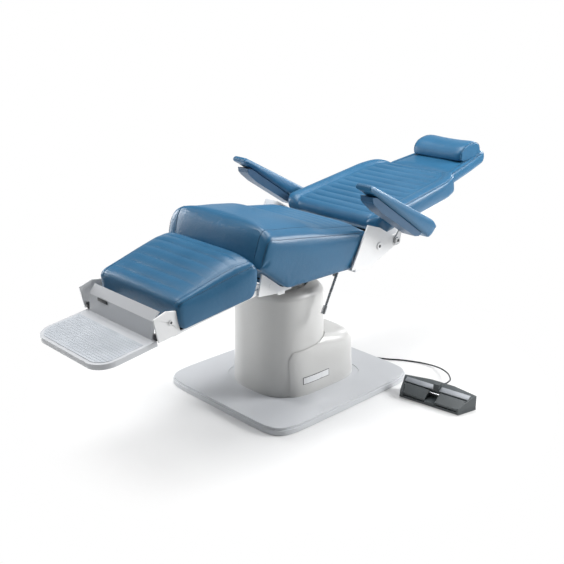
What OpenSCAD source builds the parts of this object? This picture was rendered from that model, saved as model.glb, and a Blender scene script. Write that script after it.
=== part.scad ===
// Ophthalmic examination chair, shown fully reclined and at its lowest height.
// Millimetres. Origin: middle of the base plate's underside, +Z up.
// The patient's feet point along -Y and the head along +Y; +X is the patient's left.

/* [Base] */
// Width of the base plate across the chair
base_w = 644; // [560:2:740]
// Length of the base plate along the chair
base_l = 722; // [620:2:840]
// Height of the moulded base cover
base_h = 28; // [24:1:40]
// Wall of every moulded cover
cover_wall = 4; // [3:0.5:6]
// Thickness of the steel floor plate under the cover
floor_plate_t = 22; // [12:1:22]

/* [Pedestal] */
// Width of the column cover at its foot
pedestal_w = 342; // [300:2:380]
// Depth of the column cover at its foot
pedestal_d = 300; // [270:2:330]
// Height of the column cover's rim above the floor
pedestal_top_z = 420; // [400:1:422]
// Distance of the lift column behind the plate's middle, negative towards the feet
column_y = -56; // [-70:1:-40]
// Width of the motor cover
motor_cover_w = 362; // [350:2:390]
// Height of the motor cover's top above the floor
motor_cover_top_z = 248; // [220:1:270]
// Outside diameter of the white lift sleeve
sleeve_d = 188; // [170:2:200]
// Lift travel of the column
lift_travel = 180; // [60:5:180]

/* [Seat] */
// Width of the seat cushion
seat_w = 508; // [460:2:520]
// Length of the seat cushion from nose to rear edge
seat_l = 522; // [500:1:530]
// Height of the seat cushion from its underside to its highest edge
seat_h = 193; // [170:1:210]
// Height of the seat cushion's underside above the floor
seat_z = 495; // [495:1:500]
// Thickness of the seat and back boards
board_t = 11.7; // [9:0.1:11.7]

/* [Legrest] */
// Width of the legrest cushion at its rear
leg_w = 488; // [460:2:500]
// Length of the legrest cushion
leg_l = 304; // [290:1:305]
// Height of the legrest cushion from its lowest to its highest edge
leg_h = 157; // [140:1:165]
// Width of the footplate
foot_w = 382; // [340:2:390]
// Length of the footplate from its riser to its front edge
foot_l = 211; // [190:1:260]
// Thickness of the footplate
foot_t = 18; // [14:1:20]
// Angle of the footplate below level
foot_tilt = 7.5; // [0:0.1:9]

/* [Back] */
// Width of the back cushion at its lower end
back_w = 494; // [460:2:500]
// Length of the back cushion
back_l = 531; // [500:1:540]
// Thickness of the back cushion
back_t = 64; // [50:1:70]
// Angle of the reclined back above level
back_tilt = 9.4; // [0:0.1:15]
// Width of the headrest where it meets the back
head_w = 330; // [300:2:340]
// Length of the headrest
head_l = 325; // [290:1:340]
// Travel of the headrest out of the back
head_travel = 80; // [20:5:90]
// Length of the neck pillow across the chair
pillow_w = 250; // [230:2:280]

/* [Arms] */
// Width of an arm pad
arm_w = 72; // [60:1:80]
// Length of an arm pad along the chair
arm_l = 377; // [340:1:390]

/* [Foot switch] */
// Width of the foot switch across its rear
switch_w = 296; // [270:2:320]
// Depth of the foot switch from front to rear
switch_d = 104; // [94:1:120]
// Height of the foot switch
switch_h = 58; // [52:1:66]
// Turn of the foot switch about the vertical
switch_turn = 8; // [0:1:15]
// Diameter of the foot switch cord
cord_d = 6; // [5:0.5:6]

/* [Hidden] */

$fn = 64;
// Overrun of every cut past the face that it opens
over = 1;
// Gap between faces of pieces that move past each other
gap = 0.3;
// Radial clearance of a shaft in its hole
shaft_gap = 0.05;
// Sheet steel of frames, hinge plates and brackets
sheet_t = 6;
thin_sheet_t = 3;

// Colours
vinyl_blue = [0.24, 0.43, 0.60];
cover_grey = [0.78, 0.78, 0.77];
plate_grey = [0.80, 0.81, 0.83];
steel_white = [0.92, 0.92, 0.91];
steel_grey = [0.55, 0.57, 0.58];
dark_grey = [0.25, 0.28, 0.29];
chrome = [0.75, 0.77, 0.79];
board_tan = [0.66, 0.52, 0.36];
black = [0.08, 0.08, 0.08];

// Points around an oval of half width hw and half depth hd, squarer as e grows
function oval(hw, hd, yc, e, z, n) = [for (i = [0:n - 1])
    let (a = 360 * i / n, c = cos(a), s = sin(a))
    [hw * sign(c) * pow(abs(c), 2 / e), yc + hd * sign(s) * pow(abs(s), 2 / e), z]];
// The same outline as a flat shape
function flat_oval(hw, hd, yc, e, n) = [for (p = oval(hw, hd, yc, e, 0, n)) [p[0], p[1]]];

// Middle point of a ring
function middle(ring) = [for (k = [0:2]) let (m = len(ring))
    ([for (p = ring) 1] * [for (p = ring) p[k]]) / m];
// Closed solid through rings of points that all turn the same way
module loft(rings) {
    n = len(rings[0]);
    m = len(rings);
    last = (m - 1) * n;
    side = [for (k = [0:m - 2]) for (i = [0:n - 1])
        let (j = (i + 1) % n, a = k * n + i, b = k * n + j)
        each [[a, a + n, b], [b, a + n, b + n]]];
    low = [for (i = [0:n - 1]) [m * n, i, (i + 1) % n]];
    high = [for (i = [0:n - 1]) [m * n + 1, last + (i + 1) % n, last + i]];
    polyhedron(points = concat([for (r = rings) each r], [middle(rings[0]), middle(rings[m - 1])]),
        faces = concat(side, low, high), convexity = 6);
}
// Solid with a side-view outline in Y and Z, from x0 to x1
module side_plate(outline, x0, x1) {
    translate([x0, 0, 0]) rotate([90, 0, 90]) linear_extrude(x1 - x0) polygon(outline);
}
// Round bar along X from x0 to x1 at y, z
module bar_x(x0, x1, y, z, r) {
    translate([x0, y, z]) rotate([0, 90, 0]) cylinder(h = x1 - x0, r = r);
}
// Block between two corners
module block(low, high) {
    translate(low) cube(high - low);
}

// Base
base_corner_e = 9;
oval_n = 48;
base_gap = 4;
base_step_z = 18;
base_step = 4;
dish_depth = 2;
dish_margin = 22;
plate_inset = cover_wall + 2;
motor_y1 = 218;
dish_y = [column_y - pedestal_d / 2 - dish_margin, motor_y1 + dish_margin];
module floor_plate() {
    color(steel_grey) linear_extrude(floor_plate_t)
        polygon(flat_oval(base_w / 2 - plate_inset, base_l / 2 - plate_inset, 0, base_corner_e, 2 * oval_n));
}
module base_cover() {
    color(plate_grey) difference() {
        union() {
            translate([0, 0, over]) linear_extrude(base_step_z)
                polygon(flat_oval(base_w / 2, base_l / 2, 0, base_corner_e, 2 * oval_n));
            linear_extrude(base_h)
                polygon(flat_oval(base_w / 2 - base_step, base_l / 2 - base_step, 0, base_corner_e, 2 * oval_n));
        }
        translate([0, 0, -over]) linear_extrude(floor_plate_t + over)
            polygon(flat_oval(base_w / 2 - cover_wall - 1.5 * over, base_l / 2 - cover_wall - 1.5 * over,
                0, base_corner_e, 2 * oval_n));
        translate([0, 0, -over]) linear_extrude(2 * over) square(2 * base_l, center = true);
        translate([0, 0, base_h - dish_depth]) linear_extrude(dish_depth + over) union() {
            polygon(flat_oval(motor_cover_w / 2 + dish_margin, (dish_y[1] - dish_y[0]) / 2, (dish_y[0] + dish_y[1]) / 2, 2.6, oval_n));
            polygon(flat_oval(motor_cover_w / 2 + dish_margin, (motor_y1 - motor_y0) / 2 + dish_margin,
                (motor_y0 + motor_y1) / 2, motor_e, oval_n));
        }
        bar_y_hole();
        translate([0, column_y, -over]) cylinder(h = 2 * base_h, r = outer_r + bush_t + gap);
    }
}
// Cord hole through the base cover's rear wall
gland_x = -262;
gland_z = 13;
gland_r = 7;
gland_l = 26;
module bar_y_hole() {
    translate([gland_x, 0, gland_z]) rotate([-90, 0, 0]) cylinder(h = base_l, r = gland_r);
}

// Pedestal covers
pedestal_e = 2.5;
pedestal_taper = 8;
rim_r = 30;
pedestal_floor_z = base_h - dish_depth;
// Ring of the column cover, drawn in by inset, at height z
function pedestal_ring(z, inset) = let (
    up = (z - pedestal_floor_z) / (pedestal_top_z - pedestal_floor_z), t = pedestal_taper * up + inset)
    oval(pedestal_w / 2 - t, pedestal_d / 2 - t, column_y, pedestal_e, z, oval_n);
pedestal_outer = [for (s = [[0, 0], [0.3, 0], [0.7, 0]]) pedestal_ring(pedestal_floor_z
    + s[0] * (pedestal_top_z - rim_r - pedestal_floor_z), s[1])];
pedestal_rim = [for (a = [0:15:90]) pedestal_ring(pedestal_top_z - rim_r + rim_r * sin(a),
    rim_r * (1 - cos(a)))];
opening_gap = 14;
opening_r = sleeve_d / 2 + opening_gap;
module pedestal_cover() {
    color(cover_grey) difference() {
        loft(concat(pedestal_outer, pedestal_rim));
        loft(concat([pedestal_ring(pedestal_floor_z - over, cover_wall)], [for (a = [0:15:90])
            pedestal_ring(pedestal_top_z - rim_r - cover_wall + rim_r * sin(a), cover_wall + rim_r * (1 - cos(a)))]));
        translate([0, column_y, pedestal_top_z - 2 * rim_r]) cylinder(h = 3 * rim_r, r = opening_r);
    }
}
// Motor cover levels: height share, width inset, front end, rear end, all as shares
motor_cover_shares = [[0, 0, 0, 0], [0.35, 0.01, 0, 0.01], [0.65, 0.02, 0, 0.02],
    [0.8, 0.035, 0.005, 0.03], [0.9, 0.07, 0.02, 0.07], [0.965, 0.13, 0.05, 0.14], [1, 0.22, 0.1, 0.24]];
motor_y0 = -175;
motor_e = 4.2;
shadow_gap = 2.5;
motor_fall_share = 0.2;
function motor_ring(s, inset) = let (len_y = motor_y1 - motor_y0,
    y0 = motor_y0 + s[2] * len_y + inset, y1 = motor_y1 - s[3] * len_y / 2 - inset)
    [for (p = oval(motor_cover_w / 2 * (1 - s[1]) - inset, (y1 - y0) / 2, (y0 + y1) / 2, motor_e, 0, oval_n))
        [p[0], p[1], pedestal_floor_z - (inset > 0 ? over * (1 - s[0]) : 0) + s[0] * (motor_cover_top_z
            - pedestal_floor_z - inset - motor_fall_share * (motor_cover_top_z - pedestal_floor_z)
            * (p[1] - motor_y0) / len_y)]];
module motor_cover() {
    color(cover_grey) difference() {
        loft([for (s = motor_cover_shares) motor_ring(s, 0)]);
        loft([for (s = motor_cover_shares) motor_ring(s, cover_wall)]);
        loft([for (z = [pedestal_floor_z - over, pedestal_top_z]) pedestal_ring(z, -shadow_gap)]);
    }
}
// Bare label plate on the motor cover's left side
label_l = 130;
label_h = 28;
label_t = 1.5;
label_z = 70;
label_y = -100;
module blank_label() {
    color(steel_white) difference() {
        intersection() {
            block([motor_cover_w / 4, label_y, label_z], [motor_cover_w, label_y + label_l, label_z + label_h]);
            loft([for (s = motor_cover_shares) motor_ring(s, -label_t)]);
        }
        loft([for (s = motor_cover_shares) motor_ring(s, 0)]);
    }
}

// Lift column
outer_r = 66;
bush_t = 4;
inner_r = 60;
tube_t = 5;
lift_gap = 1;
bearing_t = 12;
bearing_rise = 12;
bearing_z = pedestal_top_z + bearing_rise;
turntable_t = 11;
turntable_z = bearing_z + bearing_t + gap;
spigot_r = 40;
spigot_l = 9;
frame_z = turntable_z + turntable_t;
lift_overlap = 40;
sleeve_t = 5;
column_foot_z = floor_plate_t;
actuator_r = 34;
rod_r = 16;
bush_l = 60;
rod_z = column_foot_z + 2 * tube_t;
column_top_z = pedestal_top_z - 5 * lift_overlap / 2;
module at_column(z) { translate([0, column_y, z]) children(); }
module outer_column() {
    color(steel_grey) difference() {
        union() {
            at_column(column_foot_z) cylinder(h = column_top_z - column_foot_z, r = outer_r + bush_t);
            at_column(pedestal_floor_z) cylinder(h = tube_t, r = outer_r + 4 * tube_t);
        }
        at_column(column_foot_z - over) cylinder(h = pedestal_top_z, r = outer_r);
    }
}
module column_bush() {
    color(steel_white) difference() {
        at_column(column_top_z - bush_l) cylinder(h = bush_l + bush_t, r = outer_r);
        at_column(column_top_z - bush_l - over) cylinder(h = bush_l + 3 * bush_t, r = inner_r + shaft_gap);
    }
}
module inner_column() {
    color(steel_grey) difference() {
        at_column(rod_z) cylinder(h = bearing_z - rod_z, r = inner_r);
        at_column(rod_z - over) cylinder(h = bearing_z, r = inner_r - tube_t);
    }
}
actuator_h = 160;
motor_r = 38;
module lift_actuator() {
    color(dark_grey) difference() {
        at_column(column_foot_z) cylinder(h = actuator_h - column_foot_z, r = actuator_r);
        at_column(column_foot_z + tube_t) cylinder(h = actuator_h, r = rod_r + lift_gap);
    }
}
module lift_rod() {
    color(chrome) at_column(rod_z) cylinder(h = bearing_z - rod_z, r = rod_r);
}
module control_box() {
    box_y = column_y + pedestal_d / 2 + tube_t;
    color(dark_grey) block([-2 * motor_r, box_y, pedestal_floor_z],
        [2 * motor_r, box_y + 2 * motor_r, pedestal_floor_z + 2 * motor_r]);
}
sleeve_z = pedestal_top_z - lift_travel - lift_overlap;
module lift_sleeve() {
    color(steel_white) difference() {
        at_column(sleeve_z) cylinder(h = bearing_z - sleeve_z, r = sleeve_d / 2);
        at_column(sleeve_z - over) cylinder(h = bearing_z, r = sleeve_d / 2 - sleeve_t);
    }
}
module bearing_plate() {
    color(steel_grey) difference() {
        at_column(bearing_z) cylinder(h = bearing_t, r = sleeve_d / 2);
        at_column(bearing_z + tube_t / 2) cylinder(h = bearing_t, r = spigot_r + shaft_gap);
    }
}
module turntable() {
    color(steel_grey) union() {
        at_column(turntable_z) cylinder(h = turntable_t, r = sleeve_d / 2);
        at_column(turntable_z - spigot_l) cylinder(h = spigot_l + over, r = spigot_r);
    }
}

// Hinge axes: recline P, legs L, footplate F, arms A
seat_y0 = -371;
recline_gap = 36;
recline_y = seat_y0 + seat_l + recline_gap;
recline_z = 560;
legs_y = -296;
legs_z = 512;
fold_y = -704;
fold_z = 494;
arm_behind = 95;
arm_y = recline_y + arm_behind;
arm_z = 563;
shaft_r = 10;
leg_shaft_r = 8;
pin_r = 6;

// Seat
frame_half_w = 118;
frame_front_y = -262;
frame_short = 61;
frame_rear_y = recline_y - frame_short;
frame_top_z = seat_z - board_t - gap;
flange_t = 5.6;
flange_z = seat_z - gap - flange_t;
flange_ahead = [125, 62];
flange_y = [recline_y - flange_ahead[0], recline_y - flange_ahead[1]];
module seat_frame() {
    color(steel_white) difference() {
        union() {
            block([-frame_half_w, frame_front_y, frame_z], [frame_half_w, frame_rear_y, frame_top_z]);
            block([-frame_half_w, flange_y[0], frame_z], [frame_half_w, flange_y[1] + over, flange_z]);
        }
        for (s = [-1, 1]) block([s < 0 ? -frame_half_w + sheet_t : sleeve_d / 2, frame_front_y + sheet_t, frame_z - over],
            [s < 0 ? -sleeve_d / 2 : frame_half_w - sheet_t, frame_rear_y - sheet_t, frame_top_z - sheet_t]);
    }
}
board_inset = [48, 95];
board_half_w = seat_w / 2 - board_inset[0];
board_y = [-250, seat_y0 + seat_l - board_inset[1]];
module seat_board() {
    color(board_tan) block([-board_half_w, board_y[0], frame_top_z], [board_half_w, board_y[1], seat_z - gap]);
}

// Half of a cushion's section from its underside up: place and arc as shares, and whether
// the groove of a channel reaches the point
pad_r = 12;
pad_half_shares = concat([[0.4, -1, 0, -1, 0]], [for (a = [-90:30:0]) [1, -1, cos(a), sin(a), 0]],
    [for (a = [0:30:90]) [1, 1, cos(a), sin(a), 0]],
    [[0.95, 1, 0, 1, 0], [0.91, 1, 0, 1, 1], [0.8, 1, 0, 1, 1], [0.6, 1, 0, 1, 1], [0.25, 1, 0, 1, 1]]);
// A crown falls away towards the sides by this power
roll_power = 6;
// Ring across a cushion at y: half width hw, from zb to zt at its edges, crowned by crown
function pad_point(q, side, y, hw, zb, zt, crown, groove) = let (h = (zt - zb) / 2, r = min(pad_r, 0.95 * h),
    x = q[0] * (hw - r) + q[2] * r)
    [side * x, y, zb + h + q[1] * (h - r) + q[3] * r + (q[1] > 0 ? q[3] * crown * (1 - pow(x / hw, roll_power)) : 0) - q[4] * groove];
function pad_ring(y, hw, zb, zt, crown, groove) = let (n = len(pad_half_shares))
    [for (side = [-1, 1]) for (i = [0:n - 1])
        pad_point(pad_half_shares[side < 0 ? i : n - 1 - i], side, y, hw, zb, zt, crown, groove)];
// Stations along a cushion, with three rings at each of count channels
channel_half_share = 0.008;
function stations(ends, first, last, count) = concat([for (s = ends) if (s < first) [s, 0]],
    [for (i = [0:count - 1]) let (m = first + (last - first) * i / max(1, count - 1))
        each [[m - channel_half_share, 0], [m, 1], [m + channel_half_share, 0]]],
    [for (s = ends) if (s > last) [s, 0]]);

// Seat cushion: heights above its underside as shares, along its length from the nose
seat_top_shares = [[0, 0.53], [0.02, 0.7], [0.042, 0.88], [0.065, 0.965], [0.095, 0.99],
    [0.14, 0.955], [0.5, 0.818], [0.955, 0.66], [0.985, 0.625], [1, 0.585]];
seat_crown_shares = [[0, 0], [0.02, 0.06], [0.05, 0.14], [0.1, 0.2], [0.3, 0.22], [0.48, 0.215], [0.6, 0.13],
    [0.925, 0.115], [0.955, 0.02], [1, 0]];
seat_low_shares = [[0, 0.5], [0.06, 0.395], [0.15, 0.21], [0.21, 0.08], [0.235, 0.03], [0.28, 0.015],
    [0.8, 0], [0.83, 0.02], [0.9, 0.26], [0.97, 0.5], [1, 0.56]];
seat_end_shares = [0, 0.02, 0.042, 0.065, 0.095, 0.15, 0.21, 0.235, 0.28, 0.4, 0.48, 0.56, 0.65, 0.8, 0.83,
    0.9, 0.925, 0.955, 0.985, 1];
// The nose keeps its length; only the rest of the seat stretches
seat_nose_share = 0.28;
seat_nose_l = 146.16;
function seat_at(s) = seat_y0 + (s < seat_nose_share ? s / seat_nose_share * seat_nose_l
    : seat_nose_l + (s - seat_nose_share) / (1 - seat_nose_share) * (seat_l - seat_nose_l));
end_round_share = 0.045;
function rounded_half(w, s) = w / 2 - (s < end_round_share ? (1 - s / end_round_share)
    : s > 1 - end_round_share ? (1 - (1 - s) / end_round_share) : 0) * w * end_round_share / 2;
module seat_cushion() {
    color(vinyl_blue) loft([for (s = seat_end_shares) pad_ring(seat_at(s), rounded_half(seat_w, s),
        seat_z + seat_h * lookup(s, seat_low_shares), seat_z + seat_h * lookup(s, seat_top_shares),
        seat_h * lookup(s, seat_crown_shares), 0)]);
}

// Hinge plate of one side: 1 left, -1 right
// The plates clear the wider of the seat and the back
hinge_gap = 8;
back_side_gap = 7;
hinge_x = max(seat_w / 2, back_w / 2 + back_side_gap) + hinge_gap;
cap_r = 12;
cap_t = 4;
hinge_outline_shares = [[-0.34, 1.01], [-0.79, -0.68], [-0.25, -0.79], [0.62, -0.07], [0.65, 0.12],
    [0.39, 0.3], [0.01, 0.77]];
hinge_span = 182;
hinge_rise = 88;
module hinge_plate(side) {
    flange_x = [frame_half_w - 3 * sheet_t, hinge_x + sheet_t];
    x0 = side > 0 ? hinge_x : -hinge_x - sheet_t;
    color(steel_white) difference() {
        union() {
            side_plate([for (p = hinge_outline_shares)
                [recline_y + p[0] * hinge_span, recline_z + p[1] * hinge_rise]], x0, x0 + sheet_t);
            bar_x(x0, x0 + sheet_t, arm_y, arm_z, 2 * shaft_r);
            block([side > 0 ? flange_x[0] : -flange_x[1], flange_y[0], flange_z],
                [side > 0 ? flange_x[1] : -flange_x[0], flange_y[1], flange_z + flange_t]);
            block([x0, flange_y[0], flange_z], [x0 + sheet_t, flange_y[1], flange_z + 2 * flange_t]);
        }
        bar_x(x0 - over, x0 + sheet_t + over, recline_y, recline_z, shaft_r + shaft_gap);
        bar_x(x0 - over, x0 + sheet_t + over, arm_y, arm_z, leg_shaft_r);
    }
}
module hinge_plate_left() { hinge_plate(1); }
module hinge_plate_right() { hinge_plate(-1); }

// Bracket under the seat's nose that carries the leg shaft
bracket_inset = 45;
bracket_x = seat_w / 2 - bracket_inset;
bracket_outline_shares = [[-1, -0.48], [-0.714, 0.98], [-0.357, 0.71], [0.786, -0.23], [1.05, -0.345], [1.7, -0.345],
    [1.7, -0.6], [0.6, -0.65], [-0.1, -0.58]];
bracket_span = 56;
bracket_rise = 52;
module front_brackets() {
    color(steel_white) for (s = [-1, 1]) mirror([s < 0 ? 1 : 0, 0, 0]) difference() {
        union() {
            side_plate([for (p = bracket_outline_shares)
                [legs_y + p[0] * bracket_span, legs_z + p[1] * bracket_rise]], bracket_x, bracket_x + sheet_t);
            block([frame_half_w, frame_front_y + 2 * sheet_t, frame_top_z - 2 * sheet_t],
                [bracket_x + sheet_t, frame_front_y + 5 * sheet_t, frame_top_z]);
            block([bracket_x, frame_front_y, frame_top_z - 2 * sheet_t],
                [bracket_x + sheet_t, frame_front_y + 5 * sheet_t, frame_top_z]);
        }
        bar_x(bracket_x - over, bracket_x + sheet_t + over, legs_y, legs_z, leg_shaft_r + shaft_gap);
    }
}

// Arm pivot bolts, fixed in the hinge plates
arm_plate_x = hinge_x + sheet_t + 2 * gap;
arm_standoff = 20;
arm_x = hinge_x + arm_standoff;
module arm_bolts() {
    color(chrome) for (s = [-1, 1]) mirror([s < 0 ? 1 : 0, 0, 0]) union() {
        bar_x(hinge_x - cap_t, arm_plate_x + sheet_t + 2 * gap, arm_y, arm_z, leg_shaft_r);
        bar_x(arm_plate_x + sheet_t + gap, arm_plate_x + sheet_t + gap + cap_t, arm_y, arm_z, cap_r);
        bar_x(hinge_x - 2 * cap_t, hinge_x, arm_y, arm_z, cap_r);
    }
}

// Recline shaft with its crank, turning in the hinge plates
crank_x = -128;
crank_l = 90;
crank_r = 12;
crank_lean = 30;
crank_drop = [-crank_l * sin(crank_lean), -crank_l * cos(crank_lean)];
// Flat crank from an axis at y, z, with a pin for the link
module crank(y, z) {
    hull() {
        bar_x(crank_x, crank_x + sheet_t, y, z, crank_r + 2 * gap);
        bar_x(crank_x, crank_x + sheet_t, y + crank_drop[0], z + crank_drop[1], crank_r);
    }
    bar_x(crank_x - sheet_t - 4 * over, crank_x + over, y + crank_drop[0], z + crank_drop[1], pin_r);
}
cap_x = hinge_x + sheet_t + gap;
module recline_shaft() {
    color(chrome) union() {
        bar_x(-cap_x, cap_x, recline_y, recline_z, shaft_r);
        for (s = [-1, 1]) bar_x(s > 0 ? cap_x - over / 4 : -cap_x - cap_t, s > 0 ? cap_x + cap_t : -cap_x + over / 4,
            recline_y, recline_z, cap_r);
        crank(recline_y, recline_z);
    }
}
motor_x = [-110, -58];
gearbox_r = 28;
module recline_motor() {
    color(dark_grey) difference() {
        union() {
            bar_x(motor_x[0], motor_x[1], recline_y, recline_z, gearbox_r);
            block([motor_x[0], flange_y[1] - 2 * sheet_t, flange_z + flange_t + gap],
                [motor_x[1], recline_y, recline_z]);
            bar_x(motor_x[1], -motor_x[1], recline_y - 2 * gearbox_r, seat_z + gearbox_r, gearbox_r - 2 * gap);
        }
        bar_x(motor_x[0] - over, motor_x[1] + over, recline_y, recline_z, shaft_r + shaft_gap);
        // Clear of the seat cushion's slanted rear face
        side_plate([[0, seat_z - 2 * gearbox_r], [seat_at(0.82), seat_z], [seat_y0 + seat_l + cap_t, recline_z + gearbox_r * 2],
            [0, recline_z + 3 * gearbox_r]], -motor_x[1] * -3, -motor_x[1] * 3);
    }
}

// Swivel lock lever, hanging from the seat board
lever_inset = 44;
lever_x = seat_w / 2 - lever_inset;
lever_y = 30;
lever_r = 6;
lever_drop = [-61, -120];
lever_below = 8;
lever_z = frame_top_z - lever_below;
boss_t = 8;
module lever_boss() {
    color(steel_grey) difference() {
        block([lever_x - lever_r - boss_t - gap, lever_y - boss_t, lever_z - boss_t],
            [lever_x - lever_r - gap, lever_y + boss_t, frame_top_z]);
        bar_x(lever_x - lever_r - 2 * boss_t, lever_x, lever_y, lever_z, lever_r + shaft_gap);
    }
}
// Along the lever, from its pivot, by share of its drop
module on_lever(share) {
    translate([lever_x, lever_y + lever_drop[0] * share, lever_z + lever_drop[1] * share])
        rotate([180 - atan2(-lever_drop[0], -lever_drop[1]), 0, 0]) children();
}
lever_l = norm(lever_drop);
module lock_lever() {
    color(chrome) union() {
        on_lever(0) translate([0, 0, -lever_r]) cylinder(h = lever_l, r = lever_r);
        bar_x(lever_x - lever_r - boss_t - 2 * gap, lever_x, lever_y, lever_z, lever_r);
    }
}
grip_l = 30;
grip_r = 10;
module lever_grip() {
    color(chrome) difference() {
        on_lever(1) translate([0, 0, -grip_l / 2]) cylinder(h = grip_l, r = grip_r);
        on_lever(0) translate([0, 0, -lever_r]) cylinder(h = lever_l, r = lever_r);
    }
}

// Back, in its own frame: y up the back, z out of its face, from the recline axis
back_top = 81;
back_y0 = 38;
module in_back() { translate([0, recline_y, recline_z]) rotate([back_tilt, 0, 0]) children(); }
back_low = back_top - back_t;
tray_half_w = 228;
tray_y = [52, 460];
back_board_y1 = 528;
tray_low = -12;
ear_r = 17;
rib_shares = [0.06, 0.35, 0.62];
module back_frame() {
    color(steel_white) in_back() difference() {
        union() {
            for (s = [-1, 1]) {
                x0 = s > 0 ? tray_half_w - sheet_t : -tray_half_w;
                side_plate([[0, -ear_r], [tray_y[0], tray_low], [tray_y[1], tray_low], [tray_y[1], back_low - gap],
                    [tray_y[0], back_low - gap], [0, ear_r - gap]], x0, x0 + sheet_t);
                bar_x(x0, x0 + sheet_t, 0, 0, ear_r);
            }
            block([-tray_half_w, tray_y[0], tray_low], [tray_half_w, tray_y[1], tray_low + thin_sheet_t]);
            for (s = rib_shares) block([-tray_half_w, tray_y[0] + s * (tray_y[1] - tray_y[0]), tray_low],
                [tray_half_w, tray_y[0] + s * (tray_y[1] - tray_y[0]) + 5 * thin_sheet_t, back_low - board_t - gap]);
        }
        bar_x(-tray_half_w - over, tray_half_w + over, 0, 0, shaft_r);
    }
}
back_board_half_w = 0.79 * tray_half_w;
module back_board() {
    color(board_tan) in_back() block([-back_board_half_w, tray_y[0], back_low - board_t - gap],
        [back_board_half_w, back_board_y1, back_low - gap]);
}
back_end_shares = [0, 0.012, 0.03, 0.055, 0.94, 0.965, 0.985, 1];
back_width_shares = [[0, 0.93], [0.012, 0.97], [0.03, 0.99], [0.055, 1], [0.8, 0.955], [0.9, 0.9], [0.95, 0.82],
    [0.985, 0.72], [1, 0.66]];
back_top_shares = [[0, 0.62], [0.012, 0.84], [0.03, 0.95], [0.055, 1], [0.94, 1], [0.965, 0.96], [0.985, 0.88], [1, 0.7]];
back_low_shares = [[0, 0.4], [0.012, 0.2], [0.03, 0.06], [0.055, 0], [0.94, 0], [0.985, 0.06], [1, 0.3]];
back_channels = 11;
back_groove = 3;
bolster_rise = 8;
module back_cushion() {
    color(vinyl_blue) in_back() loft([for (q = stations(back_end_shares, 0.075, 0.92, back_channels))
        let (s = q[0]) pad_ring(back_y0 + s * back_l, back_w / 2 * lookup(s, back_width_shares),
            back_low + back_t * lookup(s, back_low_shares),
            back_low + (back_t + bolster_rise) * lookup(s, back_top_shares),
            -bolster_rise, back_groove * q[1])]);
}

// Headrest on two bars that slide in sockets under the back board
head_bar_x = 70;
head_bar_r = 6;
head_bar_z = -2;
head_drop = 12;
head_t = 50;
head_gap = 4;
head_y0 = back_y0 + back_l + head_gap;
head_low = back_top - head_drop - head_t;
head_board_t = 9;
socket_y = [404, 459];
bar_y = [352, 760];
socket_half_w = 14;
module headrest_sockets() {
    color(dark_grey) in_back() difference() {
        for (s = [-1, 1]) block([s * head_bar_x - socket_half_w, socket_y[0], tray_low + thin_sheet_t],
            [s * head_bar_x + socket_half_w, socket_y[1], back_low - board_t - gap]);
        for (s = [-1, 1]) translate([s * head_bar_x, socket_y[0] - over, head_bar_z]) rotate([-90, 0, 0])
            cylinder(h = socket_y[1], r = head_bar_r + shaft_gap);
    }
}
carrier_y = [620, 750];
module headrest_bars() {
    color(chrome) in_back() for (s = [-1, 1]) union() {
        translate([s * head_bar_x, bar_y[0], head_bar_z]) rotate([-90, 0, 0])
            cylinder(h = bar_y[1] - bar_y[0], r = head_bar_r);
        block([s * head_bar_x - head_bar_r / 2, carrier_y[0], head_bar_z],
            [s * head_bar_x + head_bar_r / 2, carrier_y[1], head_low - head_board_t - gap]);
    }
}
head_width_shares = [[0, 0.96], [0.03, 1], [0.5, 0.88], [0.85, 0.76], [0.95, 0.68], [1, 0.6]];
module headrest_board() {
    color(board_tan) in_back() translate([0, head_y0, head_low - head_board_t - gap])
        linear_extrude(head_board_t) polygon([[-0.4 * head_w, 0.08 * head_l], [0.4 * head_w, 0.08 * head_l],
            [0.28 * head_w, 0.93 * head_l], [-0.28 * head_w, 0.93 * head_l]]);
}
head_end_shares = [0, 0.015, 0.04, 0.08, 0.3, 0.5, 0.7, 0.88, 0.94, 0.975, 1];
head_top_shares = [[0, 0.65], [0.015, 0.85], [0.04, 0.96], [0.08, 1], [0.88, 1], [0.94, 0.96], [0.975, 0.84], [1, 0.6]];
head_low_shares = [[0, 0.35], [0.015, 0.15], [0.04, 0.04], [0.08, 0], [0.88, 0], [0.94, 0.04], [0.975, 0.17], [1, 0.4]];
module headrest_cushion() {
    color(vinyl_blue) in_back() loft([for (s = head_end_shares) pad_ring(head_y0 + s * head_l,
        head_w / 2 * lookup(s, head_width_shares), head_low + head_t * lookup(s, head_low_shares),
        head_low + head_t * lookup(s, head_top_shares), 0, 0)]);
}
// Neck pillow: a bolster across the headrest with a saddle in its middle
pillow_y = 770;
pillow_d = 152;
pillow_h = 68;
pillow_saddle = 7;
pillow_n = 24;
pillow_stations = 16;
pillow_travel = 30;
// Height at which the pillow's section is widest, and how far its ends are drawn in
pillow_belly_share = 0.22;
pillow_end_share = 0.42;
pillow_end_e = 12;
module neck_pillow() {
    color(vinyl_blue) in_back() loft([for (i = [0:pillow_stations])
        let (u = -cos(180 * i / pillow_stations), k = pow(1 - pillow_end_share * pow(abs(u), pillow_end_e), 0.3),
            h = k * (pillow_h - pillow_saddle * (1 - u * u)), d = k * pillow_d / 2,
            zb = back_top - head_drop + gap + pillow_belly_share * h)
        [for (j = [0:pillow_n - 1]) let (a = 360 * (j + 0.5) / pillow_n)
            [u * pillow_w / 2, pillow_y + d * sign(cos(a)) * pow(abs(cos(a)), 0.8),
                zb + h * (sin(a) > 0 ? 1 - pillow_belly_share : -pillow_belly_share) * pow(abs(sin(a)), 0.8)]]]);
}

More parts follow.
